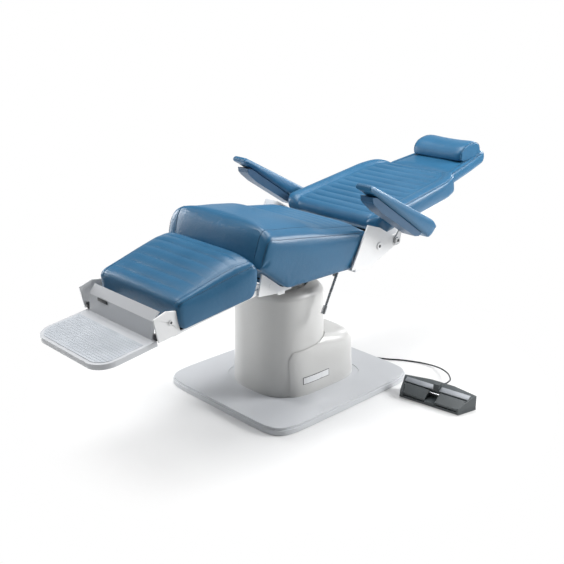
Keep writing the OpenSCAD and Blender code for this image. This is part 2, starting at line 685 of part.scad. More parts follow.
// Legrest
leg_y0 = -679;
leg_z0 = 458;
leg_top_shares = [[0, 0.5], [0.018, 0.57], [0.045, 0.6], [0.09, 0.625], [0.93, 0.975], [0.955, 0.97], [0.98, 0.93], [1, 0.83]];
leg_low_shares = [[0, 0.45], [0.018, 0.2], [0.045, 0.03], [0.08, 0.005], [0.9, 0.26], [0.93, 0.29], [0.96, 0.4], [1, 0.74]];
leg_end_shares = [0, 0.018, 0.045, 0.09, 0.86, 0.9, 0.93, 0.955, 0.98, 1];
leg_front_share = 0.897;
leg_channels = 6;
leg_crown_shares = [[0, 0.02], [0.1, 0.05], [0.3, 0.12], [0.55, 0.21], [0.75, 0.25], [0.93, 0.18], [0.98, 0.07], [1, 0]];
leg_groove = 3;
module leg_cushion() {
    color(vinyl_blue) loft([for (q = stations(leg_end_shares, 0.14, 0.82, leg_channels)) let (s = q[0])
        pad_ring(leg_y0 + s * leg_l, rounded_half(leg_w * (leg_front_share + (1 - leg_front_share) * s), s),
            leg_z0 + leg_h * lookup(s, leg_low_shares), leg_z0 + leg_h * lookup(s, leg_top_shares),
            leg_h * lookup(s, leg_crown_shares), leg_groove * q[1])]);
}
leg_board_t = 9;
leg_wall_x = bracket_x - sheet_t - over;
// Underside of the cushion, front and rear
leg_under = [[-664, 457], [-398, 498]];
leg_slope = (leg_under[1][1] - leg_under[0][1]) / (leg_under[1][0] - leg_under[0][0]);
leg_front_edge = -690;
leg_rail_h = 14;
function under_leg(y, drop) = [y, leg_under[0][1] + leg_slope * (y - leg_under[0][0]) - drop];
module leg_board() {
    color(board_tan) side_plate([under_leg(leg_under[0][0], gap), under_leg(leg_under[1][0], gap),
        under_leg(leg_under[1][0], leg_board_t), under_leg(leg_under[0][0], leg_board_t)],
        -leg_wall_x + over, leg_wall_x - over);
}
leg_bracket = [[-766, 517], [-750, 439], [-668, 450], [-668.5, 459], [-677, 488], [-682, 525], [-719, 532]];
ear_leg_r = 14;
module leg_frame() {
    color(steel_white) difference() {
        union() {
            for (s = [-1, 1]) {
                x0 = s > 0 ? leg_wall_x : -leg_wall_x - sheet_t;
                side_plate(leg_bracket, x0, x0 + sheet_t);
                side_plate([[leg_bracket[1][0], leg_bracket[1][1]], under_leg(leg_under[1][0], leg_rail_h),
                    [legs_y + ear_leg_r / 2, legs_z - ear_leg_r], [legs_y, legs_z + ear_leg_r],
                    under_leg(leg_under[1][0], gap), under_leg(leg_under[0][0], gap), under_leg(leg_front_edge, 0)], x0, x0 + sheet_t);
                bar_x(x0, x0 + sheet_t, legs_y, legs_z, ear_leg_r);
            }
            side_plate([under_leg(leg_front_edge, leg_board_t), under_leg(leg_under[1][0], leg_board_t),
                under_leg(leg_under[1][0], leg_board_t + thin_sheet_t), under_leg(leg_front_edge, leg_board_t + thin_sheet_t)],
                -leg_wall_x - over, leg_wall_x + over);
        }
        bar_x(-leg_wall_x - 2 * sheet_t, leg_wall_x + 2 * sheet_t, legs_y, legs_z, leg_shaft_r);
        bar_x(-leg_wall_x - 2 * sheet_t, leg_wall_x + 2 * sheet_t, fold_y, fold_z, pin_r);
    }
}
module leg_shaft() {
    color(chrome) union() {
        bar_x(-bracket_x - sheet_t - 3 * gap, bracket_x + sheet_t + 3 * gap, legs_y, legs_z, leg_shaft_r);
        crank(legs_y, legs_z);
    }
}
bolt_head_r = 7;
module footplate_bolts() {
    color(steel_grey) for (s = [-1, 1]) mirror([s < 0 ? 1 : 0, 0, 0]) union() {
        bar_x(leg_wall_x - 5 * sheet_t, leg_wall_x + sheet_t + gap, fold_y, fold_z, pin_r);
        bar_x(leg_wall_x + sheet_t, leg_wall_x + sheet_t + cap_t, fold_y, fold_z, bolt_head_r);
    }
}

// Footplate, kept level by the recline linkage
foot_rear_y = -745;
foot_z = 440;
foot_corner_r = 66;
riser_half_w = 175;
riser_t = 6;
riser_outline = [[-752, 436], [-746, 498], [-724, 527], [-718, 523], [-740, 495], [-745, 436]];
cheek_outline = [[-746, 498], [-704, 505], [-700, 486], [-746, 470]];
mat_inset = 12;
mat_rear = 30;
mat_t = 2.5;
// The footplate's own frame: the rear edge of its top, sloping down to the front
module in_foot() { translate([0, foot_rear_y, foot_z]) rotate([foot_tilt, 0, 0]) children(); }
// Rounded front corners, square rear corners, drawn in by inset and from the rear edge by rear
module foot_outline(inset, rear = 0) {
    r = foot_corner_r - inset;
    hull() {
        for (s = [-1, 1]) translate([s * (foot_w / 2 - inset - r), -foot_l + inset + r]) circle(r = r);
        translate([-foot_w / 2 + inset, -inset - rear - over]) square([foot_w - 2 * inset, over]);
    }
}
module footplate() {
    color(plate_grey) difference() {
        union() {
            in_foot() translate([0, 0, -foot_t]) linear_extrude(foot_t) foot_outline(0);
            side_plate(riser_outline, -riser_half_w, riser_half_w);
            for (s = [-1, 1]) mirror([s < 0 ? 1 : 0, 0, 0]) {
                side_plate(cheek_outline, riser_half_w - 2 * riser_t, riser_half_w);
                bar_x(riser_half_w - over, leg_wall_x - gap, fold_y, fold_z, 2 * pin_r);
            }
        }
        in_foot() translate([0, 0, -mat_t / 2]) linear_extrude(mat_t) foot_outline(mat_inset, mat_rear);
        bar_x(-foot_w, foot_w, fold_y, fold_z, pin_r + shaft_gap);
    }
}
module foot_mat() {
    color(plate_grey) in_foot() translate([0, 0, -mat_t / 2]) linear_extrude(mat_t) foot_outline(mat_inset + gap, mat_rear);
}

// Link that makes the legrest follow the back
link_half = 6;
link_x = crank_x - gap;
link_play = 0.5;
link_ends = [[legs_y + crank_drop[0], legs_z + crank_drop[1]], [recline_y + crank_drop[0], recline_z + crank_drop[1]]];
link_eye_r = 10;
module recline_link() {
    color(steel_grey) difference() {
        union() {
            side_plate([[link_ends[0][0], link_ends[0][1] - link_half], [link_ends[1][0], link_ends[1][1] - link_half],
                [link_ends[1][0], link_ends[1][1] + link_half], [link_ends[0][0], link_ends[0][1] + link_half]],
                link_x - sheet_t, link_x);
            for (e = link_ends) bar_x(link_x - sheet_t, link_x, e[0], e[1], link_eye_r);
        }
        bar_x(link_x - sheet_t - over, link_x + over, link_ends[0][0], link_ends[0][1], pin_r + shaft_gap);
        bar_x(link_x - sheet_t - over, link_x + over, link_ends[1][0], link_ends[1][1], pin_r + link_play);
    }
}

// Arms
support_outline = [[-230, 775], [-207, 770.6], [48, 597.2], [34, 588], [10, 592], [-178, 712], [-216, 744], [-228, 758]];
support_inset = 8;
arm_bar_r = 7;
arm_bar_behind = 18.3;
arm_bar = [arm_y + arm_bar_behind, 600.7];
pad_ahead = 250;
pad_y0 = arm_y - pad_ahead;
pad_z0 = 570;
pad_rise = 250;
pad_top_shares = [[0, 0.965], [0.015, 0.99], [0.04, 0.985], [0.96, 0.25], [0.985, 0.215], [1, 0.16]];
pad_low_shares = [[0, 0.93], [0.015, 0.905], [0.04, 0.885], [0.9, 0.0], [0.93, 0.02], [0.97, 0.07], [1, 0.13]];
pad_end_shares = [0, 0.015, 0.04, 0.2, 0.4, 0.6, 0.8, 0.9, 0.93, 0.96, 0.985, 1];
module arm_bracket(side) {
    color(steel_grey) mirror([side < 0 ? 1 : 0, 0, 0]) difference() {
        union() {
            hull() {
                bar_x(arm_plate_x, arm_plate_x + sheet_t, arm_y, arm_z, 2 * leg_shaft_r);
                bar_x(arm_plate_x, arm_plate_x + sheet_t, arm_bar[0], arm_bar[1], arm_bar_r);
            }
            bar_x(arm_plate_x, arm_x + arm_w - 2 * support_inset, arm_bar[0], arm_bar[1], arm_bar_r);
        }
        bar_x(arm_plate_x - over, arm_plate_x + sheet_t + over, arm_y, arm_z, leg_shaft_r + shaft_gap);
    }
}
module arm_support(side) {
    color(vinyl_blue) mirror([side < 0 ? 1 : 0, 0, 0]) difference() {
        translate([0, arm_y, 0]) side_plate(support_outline, arm_x + support_inset, arm_x + arm_w - support_inset);
        bar_x(arm_x, arm_x + arm_w - 2 * support_inset + gap, arm_bar[0], arm_bar[1], arm_bar_r + gap);
    }
}
module arm_pad(side) {
    color(vinyl_blue) mirror([side < 0 ? 1 : 0, 0, 0]) translate([arm_x + arm_w / 2, 0, 0])
        loft([for (s = pad_end_shares) pad_ring(pad_y0 + s * arm_l, rounded_half(arm_w, s),
            pad_z0 + pad_rise * lookup(s, pad_low_shares), pad_z0 + pad_rise * lookup(s, pad_top_shares),
            2, 0)]);
}
module arm_bracket_left() { arm_bracket(1); }
module arm_support_left() { arm_support(1); }
module arm_pad_left() { arm_pad(1); }
module arm_bracket_right() { arm_bracket(-1); }
module arm_support_right() { arm_support(-1); }
module arm_pad_right() { arm_pad(-1); }

// Foot switch, in its own frame: x along its width, y towards its cord
cord_exit_z = 46;
switch_place = [508, 255];
module at_switch() { translate([switch_place[0], switch_place[1], 0]) rotate([0, 0, switch_turn]) children(); }
switch_outline_shares = [[-0.42, -0.48], [0.4, -0.48], [0.5, 0.28], [0.16, 0.5], [-0.16, 0.5], [-0.5, 0.26]];
function switch_outline(w, d) = [for (p = switch_outline_shares) [p[0] * w, p[1] * d]];
switch_foot_h = 3;
switch_tray_h = 9;
switch_cheek = 9;
switch_strip_y = -4;
switch_slope_y = 20;
strip_drop = 12;
switch_cut_shares = [[0.4, -0.48], [0.47, 0]];
pedal_pin_x_share = 0.44;
centre_half = 20;
centre_h = 18;
switch_boss_half = 11;
switch_boss_rise = 13;
pedal_y = [-48, -6];
pedal_rear_z = 44;
pedal_front_z = 23;
pedal_t = 7;
pedal_pin_y = -12;
pedal_pin_z = 38;
pedal_pin_r = 2.5;
pedal_gap = 1.5;
switch_wall = 3;
module switch_base() {
    color(dark_grey) at_switch() translate([0, 0, switch_foot_h]) linear_extrude(switch_tray_h)
        polygon(switch_outline(switch_w, switch_d));
}
foot_pad_r = 8;
module switch_feet() {
    color(black) at_switch() for (p = switch_outline_shares) if (abs(p[0]) > 0.3)
        translate([0.82 * p[0] * switch_w, 0.72 * p[1] * switch_d, 0]) cylinder(h = switch_foot_h, r = foot_pad_r);
}
switch_top_z = switch_foot_h + switch_tray_h;
// Plan of the opening for one pedal, from x, drawn in by inset
function pedal_bay(x, inset) = [[x, -switch_d], [switch_cut_shares[0][0] * switch_w - switch_cheek - inset, -switch_d],
    [switch_cut_shares[0][0] * switch_w - switch_cheek - inset, switch_cut_shares[0][1] * switch_d],
    [switch_cut_shares[1][0] * switch_w - switch_cheek - inset, switch_strip_y], [x, switch_strip_y]];
// Rear housing with a cheek at each end and a low block between the pedals
module switch_lid() {
    color(dark_grey) at_switch() union() {
    difference() {
        intersection() {
            translate([0, 0, switch_top_z]) linear_extrude(switch_h - switch_top_z) polygon(switch_outline(switch_w - 2, switch_d - 2));
            union() {
                block([-switch_w, switch_strip_y, 0], [switch_w, switch_d, switch_h]);
                for (s = [-1, 1]) mirror([s < 0 ? 1 : 0, 0, 0]) difference() {
                    block([0.42 * switch_w - 2 * switch_cheek, -switch_d, 0], [switch_w, switch_d, switch_h]);
                    linear_extrude(switch_h) polygon(pedal_bay(0, 0));
                }
                block([-centre_half, -switch_d, 0], [centre_half, switch_d, centre_h]);
            }
        }
        // Bevel along the top of the front edge, and the slope that carries the strips
        side_plate([[-switch_d, pedal_front_z + 2 * pedal_gap], [-switch_d / 2, pedal_front_z + 2 * pedal_gap],
            [switch_strip_y - over, switch_h - strip_drop], [switch_slope_y, switch_h], [switch_slope_y, switch_h + over],
            [-switch_d, switch_h + over]], -switch_w, switch_w);
        bar_x(-pedal_pin_x_share * switch_w, pedal_pin_x_share * switch_w, pedal_pin_y, pedal_pin_z, pedal_pin_r);
        translate([0, 0, cord_exit_z]) rotate([-90, 0, 0]) cylinder(h = switch_d, r = cord_d / 2 + over);
    }
    block([-switch_boss_half, switch_strip_y + over, centre_h],
        [switch_boss_half, switch_strip_y + 2 * switch_boss_half, switch_h + switch_boss_rise]);
    }
}
module pedal(side) {
    w0 = centre_half + pedal_gap;
    color(dark_grey) at_switch() mirror([side < 0 ? 1 : 0, 0, 0]) difference() {
        intersection() {
            side_plate([[pedal_y[0], pedal_front_z - pedal_t], [pedal_pin_y, pedal_pin_z - pedal_t],
                [pedal_y[1], pedal_pin_z - pedal_t / 2], [pedal_y[1], pedal_rear_z],
                [pedal_pin_y, pedal_rear_z], [pedal_y[0], pedal_front_z]], w0, switch_w);
            linear_extrude(switch_h) polygon(pedal_bay(w0, pedal_gap));
        }
        bar_x(w0 - over, switch_w, pedal_pin_y, pedal_pin_z, pedal_pin_r + shaft_gap);
    }
}
module pedal_left() { pedal(1); }
module pedal_right() { pedal(-1); }
module pedal_pins() {
    color(chrome) at_switch() bar_x(-pedal_pin_x_share * switch_w + gap, pedal_pin_x_share * switch_w - gap,
        pedal_pin_y, pedal_pin_z, pedal_pin_r);
}

// Cord: gland, free stretches, coil and tie. Points are chosen by hand.
relief_l = 21.4;
relief_r = [7, 4.5];
module switch_relief() {
    color(black) at_switch() difference() {
        translate([0, switch_d / 2 - 2 * over, cord_exit_z]) rotate([-90, 0, 0]) cylinder(h = relief_l, r1 = relief_r[0], r2 = relief_r[1]);
        translate([0, switch_d / 2 - 3 * over, cord_exit_z]) rotate([-90, 0, 0]) cylinder(h = relief_l / 2, r = cord_d / 2);
    }
}
gland_tip_y = 386.6;
gland_seat_y = 354;
module cord_gland() {
    color(black) difference() {
        union() {
            translate([gland_x, gland_seat_y - cover_wall - over, gland_z]) rotate([-90, 0, 0])
                cylinder(h = 2 * cover_wall, r = gland_r - gap);
            translate([gland_x, gland_seat_y - cover_wall, gland_z]) rotate([-90, 0, 0])
                cylinder(h = gland_tip_y - gland_seat_y + cover_wall, r1 = gland_r + 2 * over, r2 = cord_d / 2 + 1.5 * over);
        }
        difference() {
            linear_extrude(base_h) polygon(flat_oval(base_w / 2, base_l / 2, 0, base_corner_e, 2 * oval_n));
            bar_y_hole();
        }
    }
}
coil_at = [-222, 459.4];
coil_pitch = 6.6;
coil_inner_r = 29.2;
coil_loops = 4;
coil_rings = 24;
coil_sides = 6;
lead_sides = 8;
cord_r = cord_d / 2;
lead_in_points = [[-262, 387, 13], [-262, 393, 13], [-259, 405, 11], [-250, 414, 7], [-239, 417, 4], [-228, 417, 3]];
lead_out_points = [[-216, 417, 9.6], [-210, 417, 9.4], [-196, 415, 7], [-180, 411, 4], [-160, 405, 3], [-125, 396, 3],
    [-80, 389, 3], [-30, 385, 3], [20, 384, 3], [70, 386, 3], [112, 397, 3], [150, 420, 3], [185, 446, 3],
    [222, 467, 3], [262, 484, 3.5], [312, 492, 6], [364, 481, 12.5], [417, 449, 22], [458, 408, 32],
    [482, 377, 39], [493, 350, 44], [497, 332, 46], [498, 326, 46]];
// Smooth curve through points, with n pieces between neighbours
function curve(p, n) = concat([for (i = [0:len(p) - 2]) for (k = [0:n - 1])
    let (t = k / n, a = p[max(0, i - 1)], b = p[i], c = p[i + 1], d = p[min(len(p) - 1, i + 2)])
    ((2 * b) + (c - a) * t + (2 * a - 5 * b + 4 * c - d) * t * t + (3 * b - 3 * c + d - a) * t * t * t) / 2],
    [p[len(p) - 1]]);
function unit(v) = v / norm(v);
// Round section of a tube at point i of its path
function section(path, i, r, n, phase) = let (
    t = unit(path[min(len(path) - 1, i + 1)] - path[max(0, i - 1)]), s = unit(cross([0, 0, 1], t)), u = cross(t, s))
    [for (j = [0:n - 1]) path[i] + r * (cos(360 * j / n + phase) * s + sin(360 * j / n + phase) * u)];
module tube(path, r, n, phase) {
    loft([for (i = [0:len(path) - 1]) section(path, i, r, n, phase)]);
}
// Two layers of loops: spiral in, climb in the half turn where it reverses, spiral out
function coil_point(t) = let (r = coil_inner_r + coil_pitch * abs(t) / 360, layer = min(1, max(0, (t + 90) / 180)))
    [coil_at[0] + r * sin(t), coil_at[1] - r * cos(t), cord_r + coil_pitch * layer];
coil_half = 180 * coil_loops;
coil_core = [for (i = [0:coil_loops * coil_rings]) coil_point(-coil_half + 360 * i / coil_rings)];
coil_path = concat([coil_core[0] - [cord_d, 0, 0]], coil_core, [coil_core[len(coil_core) - 1] + [cord_d, 0, 0]]);
coil_gap = min([for (i = [0:len(coil_core) - 1]) for (j = [i + coil_rings / 2:1:len(coil_core) - 1])
    norm(coil_core[i] - coil_core[j])]) - cord_d;
function length_of(path) = [for (i = [1:len(path) - 1]) norm(path[i] - path[i - 1])] * [for (i = [1:len(path) - 1]) 1];
lead_steps = 2;
echo(coil_gap = coil_gap, coil_length = length_of(coil_path),
    lead_in = length_of(curve(lead_in_points, lead_steps)), lead_out = length_of(curve(lead_out_points, lead_steps)));
module cord_lead_in() { color(black) tube(curve(lead_in_points, lead_steps), cord_r, lead_sides, 0); }
module cord_coil() { color(black) tube(coil_path, cord_r, coil_sides, 30); }
module cord_lead_out() { color(black) tube(curve(lead_out_points, lead_steps), cord_r, lead_sides, 0); }
tie_t = 1;
tie_w = 7;
module cord_tie() {
    low_r = coil_inner_r - cord_r - gap;
    high_r = coil_inner_r + coil_pitch * coil_loops / 2 + cord_r + gap;
    color(black) translate([coil_at[0] - tie_w / 2, coil_at[1], 0]) difference() {
        translate([0, low_r - tie_t, 0]) cube([tie_w, high_r - low_r + 2 * tie_t, cord_d + coil_pitch + gap + tie_t]);
        translate([-over, low_r, tie_t]) cube([tie_w + 2 * over, high_r - low_r, cord_d + coil_pitch + gap - tie_t]);
    }
}

floor_plate();
base_cover();
pedestal_cover();
motor_cover();
blank_label();
outer_column();
column_bush();
lift_actuator();
control_box();
switch_base();
switch_lid();
switch_feet();
switch_relief();
pedal_pins();
pedal_left();
pedal_right();
cord_gland();
cord_lead_in();
cord_coil();
cord_tie();
cord_lead_out();
inner_column();
lift_rod();
lift_sleeve();
bearing_plate();
turntable();
seat_frame();
seat_board();
seat_cushion();
hinge_plate_left();
hinge_plate_right();
front_brackets();
arm_bolts();
recline_motor();
lever_boss();
lock_lever();
lever_grip();
recline_shaft();
back_frame();
back_board();
back_cushion();
headrest_sockets();
headrest_bars();
headrest_board();
headrest_cushion();
neck_pillow();
leg_frame();
leg_shaft();
leg_board();
leg_cushion();
footplate_bolts();
footplate();
foot_mat();
recline_link();
arm_bracket_left();
arm_support_left();
arm_pad_left();
arm_bracket_right();
arm_support_right();
arm_pad_right();
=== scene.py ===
# Examination chair, reclined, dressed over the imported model. Metres, +Z up,
# the feet end towards -Y and the patient's left towards +X.
import math

import bmesh
import bpy
import numpy as np
from mathutils import Matrix, Vector


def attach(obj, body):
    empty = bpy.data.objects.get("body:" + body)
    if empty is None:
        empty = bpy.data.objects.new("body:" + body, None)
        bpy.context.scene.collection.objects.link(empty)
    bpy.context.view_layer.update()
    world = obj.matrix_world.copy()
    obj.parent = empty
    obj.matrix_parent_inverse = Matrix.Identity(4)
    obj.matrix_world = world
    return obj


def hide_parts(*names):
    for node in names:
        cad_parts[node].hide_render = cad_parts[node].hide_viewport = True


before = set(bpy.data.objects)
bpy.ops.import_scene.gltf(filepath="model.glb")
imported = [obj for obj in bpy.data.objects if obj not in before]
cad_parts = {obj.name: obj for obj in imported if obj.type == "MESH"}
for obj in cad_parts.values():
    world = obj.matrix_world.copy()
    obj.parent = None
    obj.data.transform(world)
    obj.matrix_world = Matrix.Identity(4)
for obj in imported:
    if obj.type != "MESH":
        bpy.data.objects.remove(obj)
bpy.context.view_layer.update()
scene = bpy.context.scene

# Camera, floor and studio light
# The chair is seen from the feet end on the patient's left, a little above the arms. Six soft
# lamps stand over and round it. The floor is pale and glows white away from the chair.
CAMERA_AT = (2.23706, -2.17452, 1.49763)
CAMERA_TURN = math.radians(46.35)
CAMERA_DIP = math.radians(19.39)
LENS = 56.56
SENSOR = 36
camera = bpy.data.objects.new("camera", bpy.data.cameras.new("camera"))
scene.collection.objects.link(camera)
camera.data.lens = LENS
camera.data.sensor_width = SENSOR
camera.location = CAMERA_AT
away = Vector((math.sin(CAMERA_TURN) * math.cos(CAMERA_DIP), -math.cos(CAMERA_TURN) * math.cos(CAMERA_DIP),
               math.sin(CAMERA_DIP)))
camera.rotation_mode = "QUATERNION"
camera.rotation_quaternion = (-away).to_track_quat("-Z", "Y")
scene.camera = camera
scene.view_settings.view_transform = "Standard"

world = bpy.data.worlds.new("studio")
scene.world = world
world.use_nodes = True
room = world.node_tree
room.nodes["Background"].inputs["Color"].default_value = (0.93, 0.97, 1, 1)
room.nodes["Background"].inputs["Strength"].default_value = 0.10
backdrop = room.nodes.new("ShaderNodeBackground")
backdrop.inputs["Color"].default_value = (1, 1, 1, 1)
backdrop.inputs["Strength"].default_value = 1.0
seen = room.nodes.new("ShaderNodeLightPath")
either = room.nodes.new("ShaderNodeMixShader")
room.links.new(seen.outputs["Is Camera Ray"], either.inputs["Fac"])
room.links.new(room.nodes["Background"].outputs["Background"], either.inputs[1])
room.links.new(backdrop.outputs["Background"], either.inputs[2])
room.links.new(either.outputs["Shader"], room.nodes["World Output"].inputs["Surface"])


def studio_light(name, at, towards, size, watts):
    """A soft box with its sides in metres, facing a point."""
    lamp = bpy.data.lights.new(name, "AREA")
    lamp.shape = "RECTANGLE"
    lamp.size, lamp.size_y = size
    lamp.energy = watts
    placed = bpy.data.objects.new(name, lamp)
    scene.collection.objects.link(placed)
    placed.location = at
    placed.rotation_mode = "QUATERNION"
    placed.rotation_quaternion = (Vector(towards) - Vector(at)).to_track_quat("-Z", "Y")


studio_light("overhead", at=(-0.2, 0.6, 3.0), towards=(0, 0, 0.4), size=(1.6, 1.6), watts=66)
studio_light("over_the_feet", at=(-0.9, -1.2, 3.0), towards=(0, -0.4, 0.4), size=(1.0, 1.0), watts=38)
studio_light("from_the_head_end", at=(2.1, 2.3, 1.9), towards=(0, 0, 0.5), size=(1.4, 1.4), watts=116)
studio_light("from_the_far_side", at=(-2.7, -0.9, 1.0), towards=(0, 0, 0.4), size=(0.8, 1.4), watts=46)
studio_light("behind", at=(-2.6, 2.9, 1.3), towards=(0, 0, 0.3), size=(4.5, 2.2), watts=14)
studio_light("low_behind", at=(-0.5, 3.4, 1.5), towards=(0, 0, 0.7), size=(1.2, 0.5), watts=24)

COAT_ROUGHNESS = 0.25
NOISE_LOW, NOISE_HIGH = 0.3, 0.7


def surface(name, color, roughness, metallic=0.0, coat=0.0):
    """A new material with its plain values set."""
    paint = bpy.data.materials.new(name)
    paint.use_nodes = True
    shader = paint.node_tree.nodes["Principled BSDF"]
    shader.inputs["Base Color"].default_value = (*color, 1)
    shader.inputs["Roughness"].default_value = roughness
    shader.inputs["Metallic"].default_value = metallic
    shader.inputs["Coat Weight"].default_value = coat
    shader.inputs["Coat Roughness"].default_value = COAT_ROUGHNESS
    return paint


def add_node(paint, kind, **values):
    """A new shader node, with values for its sockets or for its own settings."""
    node = paint.node_tree.nodes.new(kind)
    for key, value in values.items():
        if key in node.inputs:
            node.inputs[key].default_value = value
        else:
            setattr(node, key, value)
    return node


def mottle(paint, scale, dark, light, gloss):
    """Slow change of colour and roughness over a surface, from noise in the object's own space."""
    links = paint.node_tree.links
    shader = paint.node_tree.nodes["Principled BSDF"]
    place = add_node(paint, "ShaderNodeTexCoord", name="own_space")
    cloud = add_node(paint, "ShaderNodeTexNoise", Scale=scale, Detail=4.0, Roughness=0.55)
    links.new(place.outputs["Object"], cloud.inputs["Vector"])
    tone = add_node(paint, "ShaderNodeValToRGB")
    for stop, position, color in zip(tone.color_ramp.elements, (NOISE_LOW, NOISE_HIGH), (dark, light)):
        stop.position = position
        stop.color = (*color, 1)
    links.new(cloud.outputs["Fac"], tone.inputs["Fac"])
    links.new(tone.outputs["Color"], shader.inputs["Base Color"])
    spread = add_node(paint, "ShaderNodeMapRange")
    for socket, value in zip(("From Min", "From Max", "To Min", "To Max"), (NOISE_LOW, NOISE_HIGH, *gloss)):
        spread.inputs[socket].default_value = value
    links.new(cloud.outputs["Fac"], spread.inputs["Value"])
    links.new(spread.outputs["Result"], shader.inputs["Roughness"])


def grain(paint, scale, depth, kind="noise", stretch=(1, 1, 1)):
    """Fine relief on a mottled surface: leather pebbles, moulded texture or brushing."""
    links = paint.node_tree.links
    shader = paint.node_tree.nodes["Principled BSDF"]
    sized = add_node(paint, "ShaderNodeMapping", Scale=stretch)
    links.new(paint.node_tree.nodes["own_space"].outputs["Object"], sized.inputs["Vector"])
    if kind == "pebble":
        height = add_node(paint, "ShaderNodeTexVoronoi", Scale=scale, feature="F1")
        out = height.outputs["Distance"]
    else:
        height = add_node(paint, "ShaderNodeTexNoise", Scale=scale, Detail=3.0)
        out = height.outputs["Fac"]
    links.new(sized.outputs["Vector"], height.inputs["Vector"])
    relief = add_node(paint, "ShaderNodeBump", Distance=depth, Strength=1.0)
    links.new(out, relief.inputs["Height"])
    if shader.inputs["Normal"].is_linked:
        links.new(shader.inputs["Normal"].links[0].from_socket, relief.inputs["Normal"])
    links.new(relief.outputs["Normal"], shader.inputs["Normal"])


def finish(name, color, roughness, cloud, dark, light, gloss, relief, depth, metallic=0.0, coat=0.0,
           kind="noise", stretch=(1, 1, 1)):
    """A new material, mottled at the scale cloud, with a fine relief at its own scale and depth."""
    paint = surface(name, color, roughness, metallic, coat)
    mottle(paint, cloud, dark, light, gloss)
    grain(paint, relief, depth, kind, stretch)
    return paint


FLOOR_SIZE, FLOOR_DROP = 120, 0.0005
GLOW_FROM, GLOW_FULL = 0.36, 1.0
floor_paint = surface("studio_floor", (0.86, 0.86, 0.86), roughness=0.6)
floor_place = add_node(floor_paint, "ShaderNodeTexCoord")
floor_reach = add_node(floor_paint, "ShaderNodeVectorMath", operation="LENGTH")
floor_fade = add_node(floor_paint, "ShaderNodeMapRange")
floor_fade.inputs["From Min"].default_value = GLOW_FROM
floor_fade.inputs["From Max"].default_value = GLOW_FULL
floor_glow = add_node(floor_paint, "ShaderNodeEmission", Strength=1.0)
floor_seen = add_node(floor_paint, "ShaderNodeLightPath")
floor_share = add_node(floor_paint, "ShaderNodeMath", operation="MULTIPLY")
floor_mix = add_node(floor_paint, "ShaderNodeMixShader")
floor_nodes = floor_paint.node_tree.nodes
for source, target in ((floor_place.outputs["Object"], floor_reach.inputs[0]),
                       (floor_reach.outputs["Value"], floor_fade.inputs["Value"]),
                       (floor_fade.outputs["Result"], floor_share.inputs[0]),
                       (floor_seen.outputs["Is Camera Ray"], floor_share.inputs[1]),
                       (floor_share.outputs["Value"], floor_mix.inputs["Fac"]),
                       (floor_nodes["Principled BSDF"].outputs["BSDF"], floor_mix.inputs[1]),
                       (floor_glow.outputs["Emission"], floor_mix.inputs[2]),
                       (floor_mix.outputs["Shader"], floor_nodes["Material Output"].inputs["Surface"])):
    floor_paint.node_tree.links.new(source, target)
bpy.ops.mesh.primitive_plane_add(size=FLOOR_SIZE, location=(0, 0, -FLOOR_DROP))
studio_floor = bpy.context.object
studio_floor.name = "studio_floor"
studio_floor.data.materials.append(floor_paint)

# Foot switch cord
# One round PVC cord from the gland at the base's rear corner to the foot switch. Its spare
# length lies wound in a flat coil behind the base, held by a tie.
CORD_D = 0.006
LEAD_IN = [(-0.262, 0.387, 0.013), (-0.262, 0.393, 0.013), (-0.259, 0.405, 0.011), (-0.250, 0.414, 0.007),
           (-0.239, 0.417, 0.004), (-0.228, 0.417, 0.003)]
LEAD_OUT = [(-0.216, 0.417, 0.0096), (-0.210, 0.417, 0.0094), (-0.196, 0.415, 0.007), (-0.180, 0.411, 0.004),
            (-0.160, 0.405, 0.003), (-0.125, 0.396, 0.003), (-0.080, 0.389, 0.003), (-0.030, 0.385, 0.003),
            (0.020, 0.384, 0.003), (0.070, 0.386, 0.003), (0.112, 0.397, 0.003), (0.150, 0.420, 0.003),
            (0.185, 0.446, 0.003), (0.222, 0.467, 0.003), (0.262, 0.484, 0.0035), (0.312, 0.492, 0.006),
            (0.364, 0.481, 0.0125), (0.417, 0.449, 0.022), (0.458, 0.408, 0.032), (0.482, 0.377, 0.039),
            (0.493, 0.350, 0.044), (0.497, 0.332, 0.046), (0.498, 0.326, 0.046)]
COIL_AT = (-0.222, 0.4594)
COIL_R, COIL_PITCH, COIL_LOOPS, COIL_RINGS = 0.0292, 0.0066, 4, 24
LEAD_PIECES, COIL_PIECES = 4, 2


def smooth_line(points, pieces):
    """Points of the smooth curve through points, with a number of pieces between neighbours."""
    p = [np.array(q, float) for q in points]
    line = []
    for i in range(len(p) - 1):
        a, b, c, d = p[max(0, i - 1)], p[i], p[i + 1], p[min(len(p) - 1, i + 2)]
        for k in range(pieces):
            t = k / pieces
            line.append((2 * b + (c - a) * t + (2 * a - 5 * b + 4 * c - d) * t**2
                         + (3 * b - 3 * c + d - a) * t**3) / 2)
    return line + [p[-1]]


def coil_point(turn):
    """A point of the coil at a turn in degrees; it climbs from the lower layer to the upper at 0."""
    r = COIL_R + COIL_PITCH * abs(turn) / 360
    layer = min(1, max(0, (turn + 90) / 180))
    return np.array([COIL_AT[0] + r * math.sin(math.radians(turn)),
                     COIL_AT[1] - r * math.cos(math.radians(turn)), CORD_D / 2 + COIL_PITCH * layer])


def new_piece(name, points, faces, paint):
    """A new object in one material, from its points and faces."""
    mesh = bpy.data.meshes.new(name)
    mesh.from_pydata([tuple(p) for p in points], [], faces)
    made = bpy.data.objects.new(name, mesh)
    scene.collection.objects.link(made)
    mesh.materials.append(paint)
    return made


def face_outwards(mesh):
    """Turns the faces of a closed mesh so that they all look out."""
    shell = bmesh.new()
    shell.from_mesh(mesh)
    bmesh.ops.recalc_face_normals(shell, faces=shell.faces)
    shell.to_mesh(mesh)
    shell.free()


